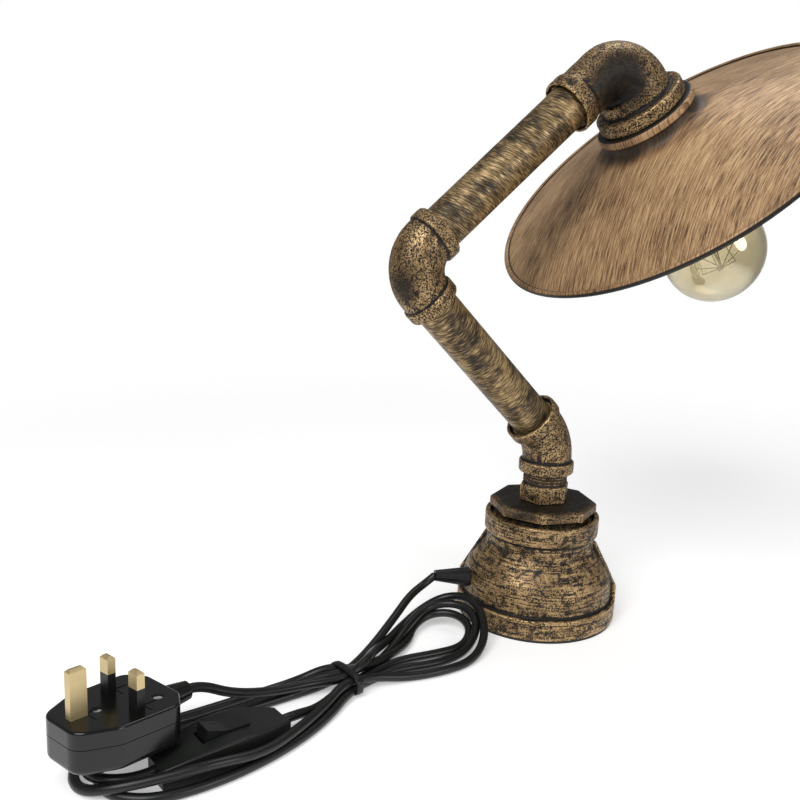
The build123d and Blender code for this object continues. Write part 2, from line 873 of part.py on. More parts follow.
def gland_plane():
    """Where the cord enters the plug's cover, facing out along the cord."""
    place = plug_plane.offset(-plug_base_depth - plug_seam / 2)
    return Plane(
        origin=place.origin + place.x_dir * plug_heel,
        x_dir=place.y_dir,
        z_dir=place.x_dir,
    )


def make_plug_pins():
    with BuildPart() as earth_pin:
        with BuildSketch(plug_plane.offset(-pin_root)):
            Rectangle(earth_pin_thickness, earth_pin_width)
        extrude(amount=pin_root + earth_pin_length)
        tip = earth_pin.faces().sort_by(Axis(plug_plane.origin, plug_plane.z_dir))[-1]
        chamfer(tip.edges(), pin_chamfer)
    save(earth_pin.part, "earth_pin")

    names = ("line_pin", "neutral_pin")
    for name, place in zip(names, line_pin_places()):
        with BuildPart() as pin:
            with BuildSketch(plug_plane.offset(-pin_root)):
                with Locations(place):
                    Rectangle(line_pin_thickness - 2 * sleeve_wall, line_pin_width - 2 * sleeve_wall)
            extrude(amount=pin_root + line_pin_sleeve)
            with BuildSketch(plug_plane.offset(line_pin_sleeve)):
                with Locations(place):
                    Rectangle(line_pin_thickness, line_pin_width)
            extrude(amount=line_pin_length - line_pin_sleeve)
            tip = pin.faces().sort_by(Axis(plug_plane.origin, plug_plane.z_dir))[-1]
            chamfer(tip.edges(), pin_chamfer)
        save(pin.part, name)

    with BuildPart() as pin_sleeves:
        with BuildSketch(plug_plane.offset(-plug_wall)):
            with Locations(*line_pin_places()):
                Rectangle(line_pin_thickness, line_pin_width)
                Rectangle(
                    line_pin_thickness - 2 * sleeve_wall,
                    line_pin_width - 2 * sleeve_wall,
                    mode=Mode.SUBTRACT,
                )
        extrude(amount=plug_wall + line_pin_sleeve)
    save(pin_sleeves.part, "pin_sleeves")


def make_plug_fittings():
    with BuildPart() as plug_screws:
        with BuildSketch(plug_plane.offset(-plug_screw_recess)):
            with Locations(*plug_screw_places):
                Circle(plug_screw_radius)
        extrude(amount=-plug_screw_depth)
    save(plug_screws.part, "plug_screws")

    cavity = plug_plane.offset(-fuse_depth)
    with BuildPart() as plug_fuse:
        fuse_end = cavity.origin + cavity.x_dir * fuse_start + cavity.y_dir * fuse_offset
        with BuildSketch(Plane(origin=fuse_end, x_dir=cavity.y_dir, z_dir=cavity.x_dir)):
            Circle(fuse_radius)
        extrude(amount=fuse_length)
    save(plug_fuse.part, "plug_fuse")

    gland = gland_plane()
    with BuildPart() as plug_gland:
        with BuildSketch(gland):
            Circle(plug_gland_radius)
        with BuildSketch(gland.offset(plug_gland_length)):
            Circle(plug_gland_tip_radius)
        loft()
        with BuildSketch(gland):
            Circle(cord_radius)
        extrude(amount=plug_gland_length - strain_tip_wall, mode=Mode.SUBTRACT)
    save(plug_gland.part, "plug_gland")

    with BuildPart() as cord_grip:
        with BuildSketch(gland.offset(-plug_wall - cord_grip_length)):
            with Locations((0, -cord_radius - cord_grip_height / 2)):
                Rectangle(cord_grip_width, cord_grip_height)
        extrude(amount=cord_grip_length)
    save(cord_grip.part, "cord_grip")


# ================================================================ inline switch
def switch_outline(grow=0.0):
    """Long lens with flat ends, to add to a sketch on one of the switch's planes."""
    half_length = switch_length / 2 + grow
    half_end = switch_end_width / 2 + grow
    half_width = switch_width / 2 + grow
    with BuildSketch(Plane.XY) as outline:
        with BuildLine():
            far_side = ThreePointArc(
                (-half_length, half_end), (0, half_width), (half_length, half_end)
            )
            near_side = ThreePointArc(
                (half_length, -half_end), (0, -half_width), (-half_length, -half_end)
            )
            Line(far_side @ 1, near_side @ 0)
            Line(near_side @ 1, far_side @ 0)
        make_face()
    return outline.sketch


def switch_side_plane():
    return Plane(
        origin=switch_plane.origin,
        x_dir=switch_plane.x_dir,
        z_dir=switch_plane.y_dir * -1,
    )


def make_switch_shells():
    with BuildPart() as switch_base:
        with BuildSketch(switch_plane.offset(hank_ground_gap)):
            add(switch_outline())
        extrude(amount=switch_seam_height - hank_ground_gap)
        fillet(switch_base.faces().sort_by(Axis.Z)[0].edges(), switch_wall / 2)
        with BuildSketch(switch_plane.offset(switch_seam_height)):
            add(switch_outline(-switch_wall))
        extrude(amount=switch_wall + hank_ground_gap - switch_seam_height, mode=Mode.SUBTRACT)
    save(switch_base.part, "switch_base")

    cover_low = switch_seam_height + switch_seam
    slot_length = rocker_length + 2 * rocker_play + rocker_dip
    slot_width = rocker_width + 2 * rocker_play
    with BuildPart() as switch_cover:
        with BuildSketch(switch_plane.offset(cover_low)):
            add(switch_outline())
        extrude(amount=switch_height - cover_low)
        with BuildSketch(switch_side_plane()):
            with BuildLine():
                crown = ThreePointArc(
                    (-switch_length / 2, switch_end_height),
                    (0, switch_height),
                    (switch_length / 2, switch_end_height),
                )
                Polyline(crown @ 1, (switch_length / 2, 0), (-switch_length / 2, 0), crown @ 0)
            make_face()
        extrude(amount=switch_width, both=True, mode=Mode.INTERSECT)
        crown_edges = switch_cover.edges().filter_by(lambda edge: edge.center().Z > switch_end_height)
        fillet(crown_edges, switch_wall / 2)
        with BuildSketch(switch_plane.offset(cover_low)):
            add(switch_outline(-switch_wall))
            with Locations((0, 0)):
                Rectangle(pivot_cheek * 2, switch_width, mode=Mode.SUBTRACT)
            Rectangle(pivot_cheek * 2, slot_width)
        extrude(amount=switch_end_height - switch_wall - cover_low, mode=Mode.SUBTRACT)
        with BuildSketch(switch_plane.offset(cover_low)):
            Rectangle(slot_length, slot_width)
        extrude(amount=switch_height, mode=Mode.SUBTRACT)
        with BuildSketch(switch_side_plane()):
            with Locations((0, rocker_pivot_height)):
                Circle(rocker_pin_radius + turning_gap)
        extrude(
            amount=rocker_width / 2 + rocker_pin_reach + turning_gap, both=True, mode=Mode.SUBTRACT
        )
    save(switch_cover.part, "switch_cover")


def make_switch_works():
    half = rocker_length / 2
    tilted = switch_side_plane()
    pivot = tilted.origin + tilted.y_dir * rocker_pivot_height
    rocker_plane = Plane(
        origin=pivot,
        x_dir=tilted.x_dir.rotate(Axis((0, 0, 0), tilted.z_dir), -rocker_tilt),
        z_dir=tilted.z_dir,
    )
    with BuildPart() as switch_rocker:
        with BuildSketch(rocker_plane):
            with BuildLine():
                Polyline(
                    (-half, rocker_top - rocker_pivot_height),
                    (0, rocker_top - rocker_dip - rocker_pivot_height),
                    (half, rocker_top - rocker_pivot_height),
                    (half, rocker_shoulder - rocker_pivot_height),
                    (rocker_foot_width / 2, rocker_foot - rocker_pivot_height),
                    (-rocker_foot_width / 2, rocker_foot - rocker_pivot_height),
                    (-half, rocker_shoulder - rocker_pivot_height),
                    close=True,
                )
            make_face()
        extrude(amount=rocker_width / 2, both=True)
        with BuildSketch(rocker_plane):
            Circle(rocker_pin_radius)
        extrude(amount=rocker_width / 2 + rocker_pin_reach, both=True)
    save(switch_rocker.part, "switch_rocker")

    strip_low = switch_wall + hank_ground_gap
    with BuildPart() as switch_contacts:
        with BuildSketch(switch_plane.offset(strip_low)):
            with Locations(
                (0, contact_strip_gap / 2 + contact_strip_width / 2),
                (0, -contact_strip_gap / 2 - contact_strip_width / 2),
            ):
                Rectangle(contact_strip_length, contact_strip_width)
        extrude(amount=switch_seam_height - strip_low - switch_wall)
    save(switch_contacts.part, "switch_contacts")


# ================================================================ cord
def make_tube(name, points):
    """Cord along straight runs, with arcs as large as the runs beside each corner allow."""
    places = [Vector(point) for point in points]
    radii = []
    for before, corner, after in zip(places, places[1:], places[2:]):
        shorter = min((corner - before).length, (after - corner).length)
        turn = (corner - before).get_angle(after - corner)
        radii.append(bend_share * shorter / tan(radians(turn / 2)))
    with BuildPart() as tube:
        with BuildLine():
            route = FilletPolyline(*places, radius=radii)
        with BuildSketch(across(route @ 0, route % 0)):
            Circle(cord_radius)
        sweep(path=route)
    bends = ", ".join(f"{radius:.0f}" for radius in radii)
    share = tube.part.volume / (pi * cord_radius**2 * route.length)
    print(f"{name}: {route.length:.0f} mm, bend radii {bends}, volume ratio {share:.3f}")
    save(tube.part, name)
    return tube.part


def hank_side_plane():
    """Upright plane along the hank: x runs from the tie towards the foot, y is up."""
    return Plane(
        origin=(tie_x, tie_y, hank_ground_gap),
        x_dir=tie_plane.z_dir,
        z_dir=tie_plane.z_dir.cross(Vector(0, 0, 1)),
    )


def make_strain_relief():
    relief_profile = profile(strain_root, strain_direction)
    with BuildPart() as strain_relief:
        with BuildSketch(relief_profile):
            with BuildLine():
                Polyline(
                    (cord_radius, -strain_tail),
                    (strain_plug_radius, -strain_tail),
                    (strain_plug_radius, 0),
                    (strain_root_radius, 0),
                    (strain_tip_radius, strain_length),
                    (0, strain_length),
                    (0, strain_length - strain_tip_wall),
                    (cord_radius, strain_length - strain_tip_wall),
                    close=True,
                )
            make_face()
        revolve(axis=Axis(strain_root, strain_direction))
    save(strain_relief.part, "strain_relief")


def make_cord():
    """The two ends that leave the hank, and the hank with the grooves they lie in."""
    relief_tip = strain_root + strain_direction * strain_length
    lead_bend = relief_tip + strain_direction * lead_start
    lead = make_tube("cord_lead", (relief_tip, lead_bend, *lead_route))
    gland = gland_plane()
    gland_tip = gland.origin + gland.z_dir * plug_gland_length
    tail_bend = gland_tip + gland.z_dir * tail_start
    tail = make_tube("cord_tail", (gland_tip, tail_bend, *tail_route))
    hank_reach = max(hypot(x - tie_x, y - tie_y) for x, y in hank_plug_side + hank_foot_side)
    with BuildPart() as cord_hank:
        with BuildSketch(Plane.XY.offset(hank_ground_gap)):
            for outline in (hank_plug_side, hank_foot_side):
                with BuildLine():
                    FilletPolyline(*outline, radius=hank_corner_round, close=True)
                make_face()
        extrude(amount=loop_height)
        with BuildSketch(hank_side_plane()):
            with BuildLine():
                Polyline(
                    (-hank_reach, 0),
                    (-hank_reach, hank_height),
                    (loop_rise_start, hank_height),
                    (loop_rise_end, loop_height),
                    (hank_reach, loop_height),
                    (hank_reach, 0),
                    close=True,
                )
            make_face()
        extrude(amount=hank_reach, both=True, mode=Mode.INTERSECT)
        with BuildSketch(Plane.XY):
            Circle(foot_radius + clearance)
        extrude(amount=2 * loop_height, mode=Mode.SUBTRACT)
        with BuildSketch(switch_plane):
            add(switch_outline(clearance))
        extrude(amount=switch_height, mode=Mode.SUBTRACT)
        with BuildSketch(tie_plane.offset(-tie_length)):
            Rectangle(2 * tie_span, 2 * loop_height)
            Rectangle(tie_span, tie_height, mode=Mode.SUBTRACT)
        extrude(amount=2 * tie_length, mode=Mode.SUBTRACT)
        with BuildSketch(across(strain_root, strain_direction)):
            Circle(strain_root_radius + clearance)
        extrude(amount=strain_length, mode=Mode.SUBTRACT)
        add(lead, mode=Mode.SUBTRACT)
        add(tail, mode=Mode.SUBTRACT)
    save(cord_hank.part, "cord_hank")

    with BuildPart() as cord_tie:
        with BuildSketch(tie_plane.offset(-tie_length / 2)):
            RectangleRounded(
                tie_span + 2 * tie_thickness, tie_height + 2 * tie_thickness, tie_thickness
            )
            Rectangle(tie_span, tie_height, mode=Mode.SUBTRACT)
        extrude(amount=tie_length)
    save(cord_tie.part, "cord_tie")


def make_flex():
    """The lamp's own flex inside the arm, cut where it crosses each turning joint."""
    relief_bore = strain_root + strain_direction * (strain_length - strain_tip_wall)
    inside_foot = strain_root - strain_direction * flex_entry
    column = Vector(0, 0, foot_shoulder_high)
    meet_base = Vector(0, 0, elbow_low - flex_overrun)
    meet_lower = upper_corner - lower_axis * (elbow_90_reach + flex_overrun)
    meet_upper = head_corner - upper_axis * (head_inlet_reach + flex_overrun)
    flex_end = head_corner + shade_axis * insert_low
    make_tube("flex_base", (relief_bore, inside_foot, column, meet_base))
    make_tube("flex_lower", (meet_base, lower_corner, meet_lower))
    make_tube("flex_upper", (meet_lower, upper_corner, meet_upper))
    make_tube("flex_head", (meet_upper, head_corner, flex_end))


make_base_pad()
make_base_plate()
make_reducing_socket()
make_octagon_bush()
make_hex_nipple()
make_arm()
make_shade()
make_holder_mounting()
make_lampholder()
make_bulb()
make_plug_shells()
make_plug_pins()
make_plug_fittings()
make_switch_shells()
make_switch_works()
make_strain_relief()
make_cord()
make_flex()
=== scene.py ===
import json
from math import copysign, cos, pi, radians, sin, tan

import bmesh
import bpy
import numpy as np
from mathutils import Matrix, Vector


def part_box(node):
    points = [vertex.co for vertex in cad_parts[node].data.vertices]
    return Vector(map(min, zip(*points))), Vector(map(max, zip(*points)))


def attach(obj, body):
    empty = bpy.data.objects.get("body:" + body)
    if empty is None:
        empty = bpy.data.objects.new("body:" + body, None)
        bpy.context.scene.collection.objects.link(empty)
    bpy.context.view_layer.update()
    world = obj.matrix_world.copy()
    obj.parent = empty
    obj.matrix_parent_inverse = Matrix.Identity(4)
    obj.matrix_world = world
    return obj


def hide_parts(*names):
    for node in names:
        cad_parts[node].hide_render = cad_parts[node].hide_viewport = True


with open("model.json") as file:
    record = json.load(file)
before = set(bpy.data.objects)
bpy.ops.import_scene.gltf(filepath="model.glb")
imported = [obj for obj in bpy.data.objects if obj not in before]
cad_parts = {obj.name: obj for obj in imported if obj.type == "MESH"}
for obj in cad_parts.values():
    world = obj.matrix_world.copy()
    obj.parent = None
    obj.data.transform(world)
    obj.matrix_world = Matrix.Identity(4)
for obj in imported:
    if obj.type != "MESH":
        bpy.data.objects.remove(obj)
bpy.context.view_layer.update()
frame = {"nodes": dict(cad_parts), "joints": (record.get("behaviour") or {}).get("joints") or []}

bl_info = {
    "name": "Pipe Table Lamp",
    "version": (1, 0, 0),
    "blender": (4, 5, 0),
    "location": "3D View > Sidebar > Pipe Lamp",
    "description": "Dresses the pipe table lamp: castings, paint, bulb, switch, plug and cord",
    "category": "Object",
}

NODES = frame["nodes"]
JOINTS = {joint["name"]: joint for joint in frame["joints"]}
MM = 0.001

# The arm's places come from its joints: each turns about the pipe that leads to the next.
LOWER_CORNER = Vector(JOINTS["lower_arm_turn"]["pos_m"])
UPPER_CORNER = Vector(JOINTS["upper_arm_turn"]["pos_m"])
HEAD_CORNER = Vector(JOINTS["head_turn"]["pos_m"])
LOWER_AXIS = Vector(JOINTS["upper_arm_turn"]["axis"]).normalized()
UPPER_AXIS = Vector(JOINTS["head_turn"]["axis"]).normalized()
# The shade opens square to the upper pipe, in the plane of both pipes.
SHADE_AXIS = (UPPER_AXIS * UPPER_AXIS.dot(LOWER_AXIS) - LOWER_AXIS).normalized()


def axes_of(direction, side):
    """Rotation whose Z is the direction and whose X lies towards the side."""
    z = direction.normalized()
    x = (side - z * side.dot(z)).normalized()
    return Matrix((x, z.cross(x), z)).transposed()


def place(origin, rotation):
    """Matrix that carries a thing from the world's origin to a spot and a rotation."""
    return Matrix.Translation(origin) @ rotation.to_4x4()


HEAD_PLACE = place(HEAD_CORNER, axes_of(SHADE_AXIS, UPPER_AXIS))
UPPER_PIPE_PLACE = place(UPPER_CORNER, axes_of(UPPER_AXIS, LOWER_AXIS))
LOWER_PIPE_PLACE = place(LOWER_CORNER, axes_of(LOWER_AXIS, Vector((0, -1, 0))))

# The plug lies on its back: its face looks up and its earth pin is the origin of its place.
PLUG_SPOT = Vector((-0.2243, -0.2009, 0.0367))
PLUG_HEADING = radians(51.6)
PLUG_LEAN = radians(4.8)
PLUG_PLACE = place(
    PLUG_SPOT,
    axes_of(
        Vector((0, sin(PLUG_LEAN), cos(PLUG_LEAN))),
        Vector((cos(PLUG_HEADING), sin(PLUG_HEADING), 0)),
    ),
)

# Routes of the cord, in millimetres: from the foot to the switch, and from there to the plug.
LEAD_ROUTE = (
    (-67.2, -18, 27.8), (-72.2, -19, 23.4), (-82.3, -31.5, 20.1), (-91, -49.5, 14.1),
    (-102.9, -70.8, 5.8), (-113.2, -91.9, 3.3), (-125.4, -110.1, 3.2), (-143.8, -122.8, 2.7),
    (-164.2, -137.1, 2.8), (-185, -152.7, 2.7), (-204.2, -165.7, 2.8), (-220.9, -173.2, 2.7),
    (-227.6, -186.3, 2.9), (-223.4, -197.4, 5.8), (-213, -204.3, 7.9), (-199.3, -200.7, 7.3),
    (-193.7, -194.8, 7.2),
)
HANK_ROUTE = (
    (-143.5, -152, 7.2), (-137.7, -147.5, 7.5), (-128.2, -133.8, 2.5), (-117.4, -116.5, 4.2),
    (-104.6, -98, 2.5), (-87.4, -81.4, 2.8), (-66.7, -72.6, 2.8), (-50.7, -63.3, 2.7),
    (-45, -50.5, 6.6), (-49, -39.4, 9.6), (-58.6, -33, 10.2), (-70.8, -33.5, 8.3),
    (-80, -43.5, 4.9), (-82.7, -59.9, 3.1), (-91.5, -78.4, 4.9), (-103.6, -95.6, 7.3),
    (-118.7, -107.9, 8.8), (-137, -112.4, 5.6), (-155.1, -124, 2.5), (-175.5, -139.3, 2.9),
    (-195, -153.5, 2.5), (-211, -163.6, 6.3), (-219.4, -176.3, 7.4), (-221.9, -188.9, 2.7),
    (-216.9, -201.1, 2.8), (-205.4, -208.8, 2.7), (-189.2, -208.4, 2.8), (-171.3, -198.8, 2.8),
    (-152.3, -183, 2.7), (-135.1, -163.2, 2.8), (-122.1, -141, 2.5), (-113.7, -119.7, 4.1),
    (-102.4, -102.6, 2.5), (-85.9, -90.6, 2.8), (-66.1, -83.7, 2.8), (-51.3, -71.4, 2.5),
    (-43.1, -58.5, 7.1), (-41.6, -45.8, 12.5), (-48, -35, 15.4), (-59.8, -29.8, 15.1),
    (-73.8, -33.9, 12.4), (-83, -49.7, 8.9), (-92, -69.2, 3.2), (-101.2, -88, 2.5),
    (-112.5, -99.2, 6), (-126.4, -104.4, 9.7), (-142.6, -109, 3), (-160.7, -121.8, 2.7),
    (-181.1, -137.3, 2.8), (-202.7, -152.2, 2.7), (-220.5, -166.1, 2.7), (-231.4, -180.5, 2.8),
    (-231.4, -195.2, 2.7), (-222.8, -206.1, 3.2), (-207.6, -208.9, 7.7), (-188.7, -203.4, 9.5),
    (-167.3, -194.5, 11.7), (-148.5, -180.4, 8), (-135, -160.2, 7.5), (-124.7, -137.5, 5.9),
    (-115.9, -118.3, 9), (-101.3, -106.6, 6.3), (-82.7, -99.5, 2.5), (-62.2, -91.7, 2.9),
    (-46.1, -79.1, 2.5), (-38.2, -64.4, 6.6), (-37.4, -50.5, 13.8), (-41, -37, 18.1),
    (-49.5, -25.9, 18.6), (-62.6, -22.4, 15.1), (-75.5, -29.7, 9.9), (-86.2, -45.7, 6.8),
    (-96, -66.2, 5.4), (-102.6, -84.9, 9.4), (-104.8, -101.3, 13.4), (-115.7, -111.8, 7.3),
    (-133, -116.8, 6.9), (-151.4, -129.6, 8.9), (-169.6, -142.7, 14.8), (-184.2, -150.4, 23.9),
    (-188.9, -156.3, 24.7),
)


class Signal:
    """A shader socket that arithmetic can be written with."""

    def __init__(self, paint, socket):
        self.paint, self.socket = paint, socket

    def _with(self, operation, *values, **settings):
        sockets = dict(enumerate(values))
        return self.paint.node("Math", {"operation": operation, **settings}, sockets)[0]

    def __add__(self, other):
        return self._with("ADD", self, other)

    def __sub__(self, other):
        return self._with("SUBTRACT", self, other)

    def __rsub__(self, other):
        return self._with("SUBTRACT", other, self)

    def __mul__(self, other):
        return self._with("MULTIPLY", self, other)

    def __pow__(self, other):
        return self._with("POWER", self, other)

    __radd__ = __add__
    __rmul__ = __mul__

    def step(self, low, high):
        """0 below low, 1 above high and smooth between them."""
        settings = {"interpolation_type": "SMOOTHSTEP"}
        sockets = {"Value": self, "From Min": low, "From Max": high}
        return self.paint.node("MapRange", settings, sockets)[0]

    def limited(self):
        """The same, kept between 0 and 1."""
        return self._with("ADD", self, 0.0, use_clamp=True)


class Paint:
    """A material's node tree, with one way to add any node to it."""

    def __init__(self, name):
        self.material = bpy.data.materials.new(name)
        self.material.use_nodes = True
        self.tree = self.material.node_tree
        self.tree.nodes.clear()

    def node(self, kind, settings=None, sockets=None):
        made = self.tree.nodes.new("ShaderNode" + kind)
        for name, value in (settings or {}).items():
            if name == "stops":
                elements = made.color_ramp.elements
                for stop, (position, colour) in enumerate(value):
                    element = elements[stop] if stop < len(elements) else elements.new(position)
                    element.position, element.color = position, (*colour, 1)
            else:
                setattr(made, name, value)
        for name, value in (sockets or {}).items():
            if isinstance(value, Signal):
                self.tree.links.new(value.socket, made.inputs[name])
            else:
                made.inputs[name].default_value = value
        return [Signal(self, output) for output in made.outputs if output.enabled]

    def position(self):
        return self.node("TexCoord")[3]

    def dot(self, vector, direction):
        sockets = {0: vector, 1: tuple(direction)}
        return self.node("VectorMath", {"operation": "DOT_PRODUCT"}, sockets)[0]

    def local(self, where):
        """The three coordinates of a place's own axes, in metres."""
        sockets = {0: self.position(), 1: tuple(where.translation)}
        shifted = self.node("VectorMath", {"operation": "SUBTRACT"}, sockets)[0]
        turned = where.to_3x3()
        return [self.dot(shifted, turned.col[axis]) for axis in range(3)]

    def distance(self, centre):
        """How far a point lies from the centre, in metres."""
        x, y, z = self.local(Matrix.Translation(centre))
        return (x * x + y * y + z * z) ** 0.5

    def vector(self, x, y, z):
        return self.node("CombineXYZ", None, {0: x, 1: y, 2: z})[0]

    def noise(self, vector, size, detail=3.0, roughness=0.55):
        """Noise whose blobs are about this size in the vector's units, from 0 to 1."""
        sockets = {"Vector": vector, "Scale": 1 / size, "Detail": detail, "Roughness": roughness}
        return self.node("TexNoise", None, sockets)[0]

    def mix(self, factor, first, second):
        sockets = {0: factor, 6: first, 7: second}
        return self.node("Mix", {"data_type": "RGBA"}, sockets)[0]

    def ramp(self, factor, *stops):
        return self.node("ValToRGB", {"stops": stops}, {0: factor})[0]

    def bump(self, height, distance, strength=1.0):
        sockets = {"Strength": strength, "Distance": distance, "Height": height}
        return self.node("Bump", None, sockets)[0]

    def surface(self, **values):
        """Principled surface; names are its sockets, with underscores for spaces."""
        sockets = {name.replace("_", " "): value for name, value in values.items()}
        shader = self.node("BsdfPrincipled", None, sockets)[0]
        return self.output(shader)

    def output(self, shader):
        self.node("OutputMaterial", None, {"Surface": shader})
        return self.material


def rgb(colour, share=1.0):
    """A colour, or a share of its brightness, as a socket takes it."""
    return (*(part * share for part in colour), 1)


# ---------------------------------------------------------------- finishes
def rubbed_casting(name, props, where, streaks, dark_patch):
    """Bronze rubbed over black: speckled flats, bright edges and hollows left black.

    Streaks is the share of the speckle that is drawn out round the place's Z. Dark patch is the
    centre of a patch painted darker, and its inner and outer radius.
    """
    paint = Paint(name)
    x, y, z = paint.local(where)
    relief = paint.node("Attribute", {"attribute_name": "relief"})[2]
    grain = paint.noise(paint.position(), 0.9 * MM, 2.0, 0.6)
    blotch = paint.noise(paint.position(), 16 * MM, 3.0, 0.55)
    lumps = paint.noise(paint.position(), 3 * MM, 2.0)
    stroke = paint.noise(paint.vector(x * 0.07, y * 0.07, z), 1.1 * MM, 3.0, 0.65)
    speckle = (grain * (1 - streaks) + stroke * streaks).step(0.41, 0.54)
    edges = relief.step(0.18, 0.5)
    hollows = 1 - relief.step(-0.6, -0.2)
    centre, inner, outer = dark_patch
    # Inside the patch the paint is kept darker: on the elbows this is painted shade in the inner
    # bend.
    outside_dark_patch = (paint.distance(centre) + (blotch - 0.5) * 10 * MM).step(inner, outer)
    wear = speckle * (blotch.step(0.3, 0.6) * 0.16 + 0.74) * (outside_dark_patch * 0.85 + 0.15)
    wear = (wear + edges * 0.6 - hollows * 0.95).limited()
    colour = paint.ramp(
        wear,
        (0.0, props.casting_dark),
        (0.35, props.casting_brown),
        (0.75, props.casting_bronze),
        (1.0, props.casting_gold),
    )
    return paint.surface(
        Base_Color=colour,
        Metallic=wear * 0.6,
        Roughness=0.55 - wear * 0.18,
        Specular_IOR_Level=0.3,
        Normal=paint.bump(grain * 0.5 + lumps * 0.8, 0.5 * MM, 0.5),
    )


def brushed_pipe(name, props, where):
    """Bronze brushed over black across a tube, so that the strokes run round it."""
    paint = Paint(name)
    x, y, z = paint.local(where)
    slant = z + x * 0.35
    stroke = paint.noise(paint.vector(x * 0.1, y * 0.1, slant), 0.6 * MM, 3.0, 0.65)
    broad = paint.noise(paint.vector(x * 0.4, y * 0.4, slant), 6 * MM, 2.5, 0.5)
    patch = paint.noise(paint.vector(x * 1.3, y * 1.3, z * 0.9), 20 * MM, 2.0, 0.5)
    wear = (stroke * 1.05 + broad * 0.36 + patch * 0.44).step(0.7, 1.18)
    colour = paint.ramp(
        wear,
        (0.0, props.pipe_dark),
        (0.3, props.pipe_brown),
        (0.7, props.pipe_bronze),
        (1.0, props.pipe_gold),
    )
    return paint.surface(
        Base_Color=colour,
        Metallic=wear * 0.6,
        Roughness=0.46 - wear * 0.1,
        Specular_IOR_Level=0.35,
        Normal=paint.bump(stroke, 0.15 * MM, 0.5),
    )


def brushed_shade(name, props, where):
    """Copper brushed over black in one sweep, with a dark foot under the collar."""
    collar_top, collar_skirt = 34.3 * MM, 38.5 * MM
    cone_start, cone_full = 28.5 * MM, 38.5 * MM
    bead_start, crest_start, crest_end = 112.4 * MM, 113.1 * MM, 71.9 * MM
    paint = Paint(name)
    x, y, z = paint.local(where)
    radius = (x * x + y * y) ** 0.5
    # Strokes lie side by side across the cone and bow to one side, as one sweep leaves them.
    along = x * 0.922 - y * 0.386
    bend = along + 90 * MM
    across = x * 0.386 + y * 0.922 - bend * bend * props.bow
    hair = paint.noise(paint.vector(across, along * 0.05, 0.0), 0.8 * MM, 3.0, 0.75)
    stroke = paint.noise(paint.vector(across, along * 0.12, 0.0), 9 * MM, 3.0, 0.6)
    patch = paint.noise(paint.position(), 50 * MM, 3.0, 0.5)
    wear = (hair * 1.5 + stroke * 0.25 + patch * 0.45).step(0.7, 1.5)
    cone = (radius + (stroke - 0.5) * 12 * MM).step(cone_start, cone_full) * 0.92 + 0.08
    collar = 1 - z.step(collar_skirt, collar_skirt + 0.7 * MM)
    wear = wear * (cone + collar * 0.75).limited() * z.step(collar_top, collar_top + 0.5 * MM)
    # The bead is left black but for its rubbed crest. The crest stops on the bead's upper side, so
    # its underside is painted shade.
    bead = radius.step(bead_start, bead_start + 0.3 * MM)
    crest = radius.step(crest_start, crest_start + 0.4 * MM)
    crest = crest * (1 - z.step(crest_end, crest_end + 0.7 * MM))
    wear = wear * (1 - bead + crest * 0.85)
    # Inside the cone the sheet is plain black.
    inside = (z - radius * tan(props.slope) - props.crown).step(0.3 * MM, 0.5 * MM)
    wear = wear * (1 - inside)
    colour = paint.ramp(
        wear,
        (0.0, props.shade_dark),
        (0.2, props.shade_brown),
        (0.5, props.shade_copper),
        (1.0, props.shade_light),
    )
    return paint.surface(
        Base_Color=colour,
        Metallic=wear * 0.25,
        Roughness=0.5 - wear * 0.1,
        Specular_IOR_Level=0.35,
        Normal=paint.bump(hair, 0.1 * MM, 0.35),
    )


def plain_finish(name, colour, roughness, grain=0.4 * MM, height=0.04 * MM, specular=0.35):
    """Moulding, paint or wire of one colour, faintly mottled."""
    paint = Paint(name)
    fine = paint.noise(paint.position(), grain, 2.0)
    broad = paint.noise(paint.position(), 20 * MM, 2.0)
    return paint.surface(
        Base_Color=paint.mix(broad, rgb(colour, 0.8), rgb(colour, 1.3)),
        Roughness=fine * 0.12 + broad * 0.08 + (roughness - 0.1),
        Specular_IOR_Level=specular,
        Normal=paint.bump(fine, height, 0.5),
    )


def cord_sheath(name, colour):
    """Soft black sheath with a faint dusty bloom along it."""
    paint = Paint(name)
    fine = paint.noise(paint.position(), 0.8 * MM, 2.0)
    broad = paint.noise(paint.position(), 15 * MM, 3.0)
    return paint.surface(
        Base_Color=paint.mix(broad, rgb(colour, 0.7), rgb(colour, 1.6)),
        Roughness=broad * 0.12 + 0.28,
        Specular_IOR_Level=0.4,
        Normal=paint.bump(fine, 0.03 * MM, 0.4),
    )


def bare_metal(name, colour, roughness, where, stretch=8.0):
    """Brass, zinc or steel with fine scratches along the place's Z."""
    paint = Paint(name)
    x, y, z = paint.local(where)
    scratch = paint.noise(paint.vector(x * stretch, y * stretch, z), 3 * MM, 3.0, 0.6)
    broad = paint.noise(paint.position(), 6 * MM, 2.0)
    shine = (scratch * 0.5 + broad * 0.6).limited()
    return paint.surface(
        Base_Color=paint.mix(shine, rgb(colour, 0.72), rgb(colour)),
        Metallic=0.7,
        Roughness=scratch * 0.18 + roughness,
        Normal=paint.bump(scratch, 0.03 * MM, 0.35),
    )


def bulb_glass_finish(name, tint):
    """Thin tinted glass: what is behind shows through, and the studio shows in its gloss."""
    paint = Paint(name)
    facing = paint.node("LayerWeight", None, {"Blend": 0.28})
    smoke = paint.noise(paint.position(), 30 * MM, 2.0)
    clear = paint.node("BsdfTransparent", None, {"Color": rgb(tint)})[0]
    gloss = {
        "Base Color": paint.mix(smoke, rgb(tint, 0.85), rgb(tint)),
        "Roughness": 0.04,
        "Metallic": 0.85,
    }
    film = paint.node("BsdfPrincipled", None, gloss)[0]
    weight = (facing[1] * 0.6 + smoke.step(0.4, 0.7) * 0.12 + 0.1).limited()
    return paint.output(paint.node("MixShader", None, {0: weight, 1: clear, 2: film})[0])


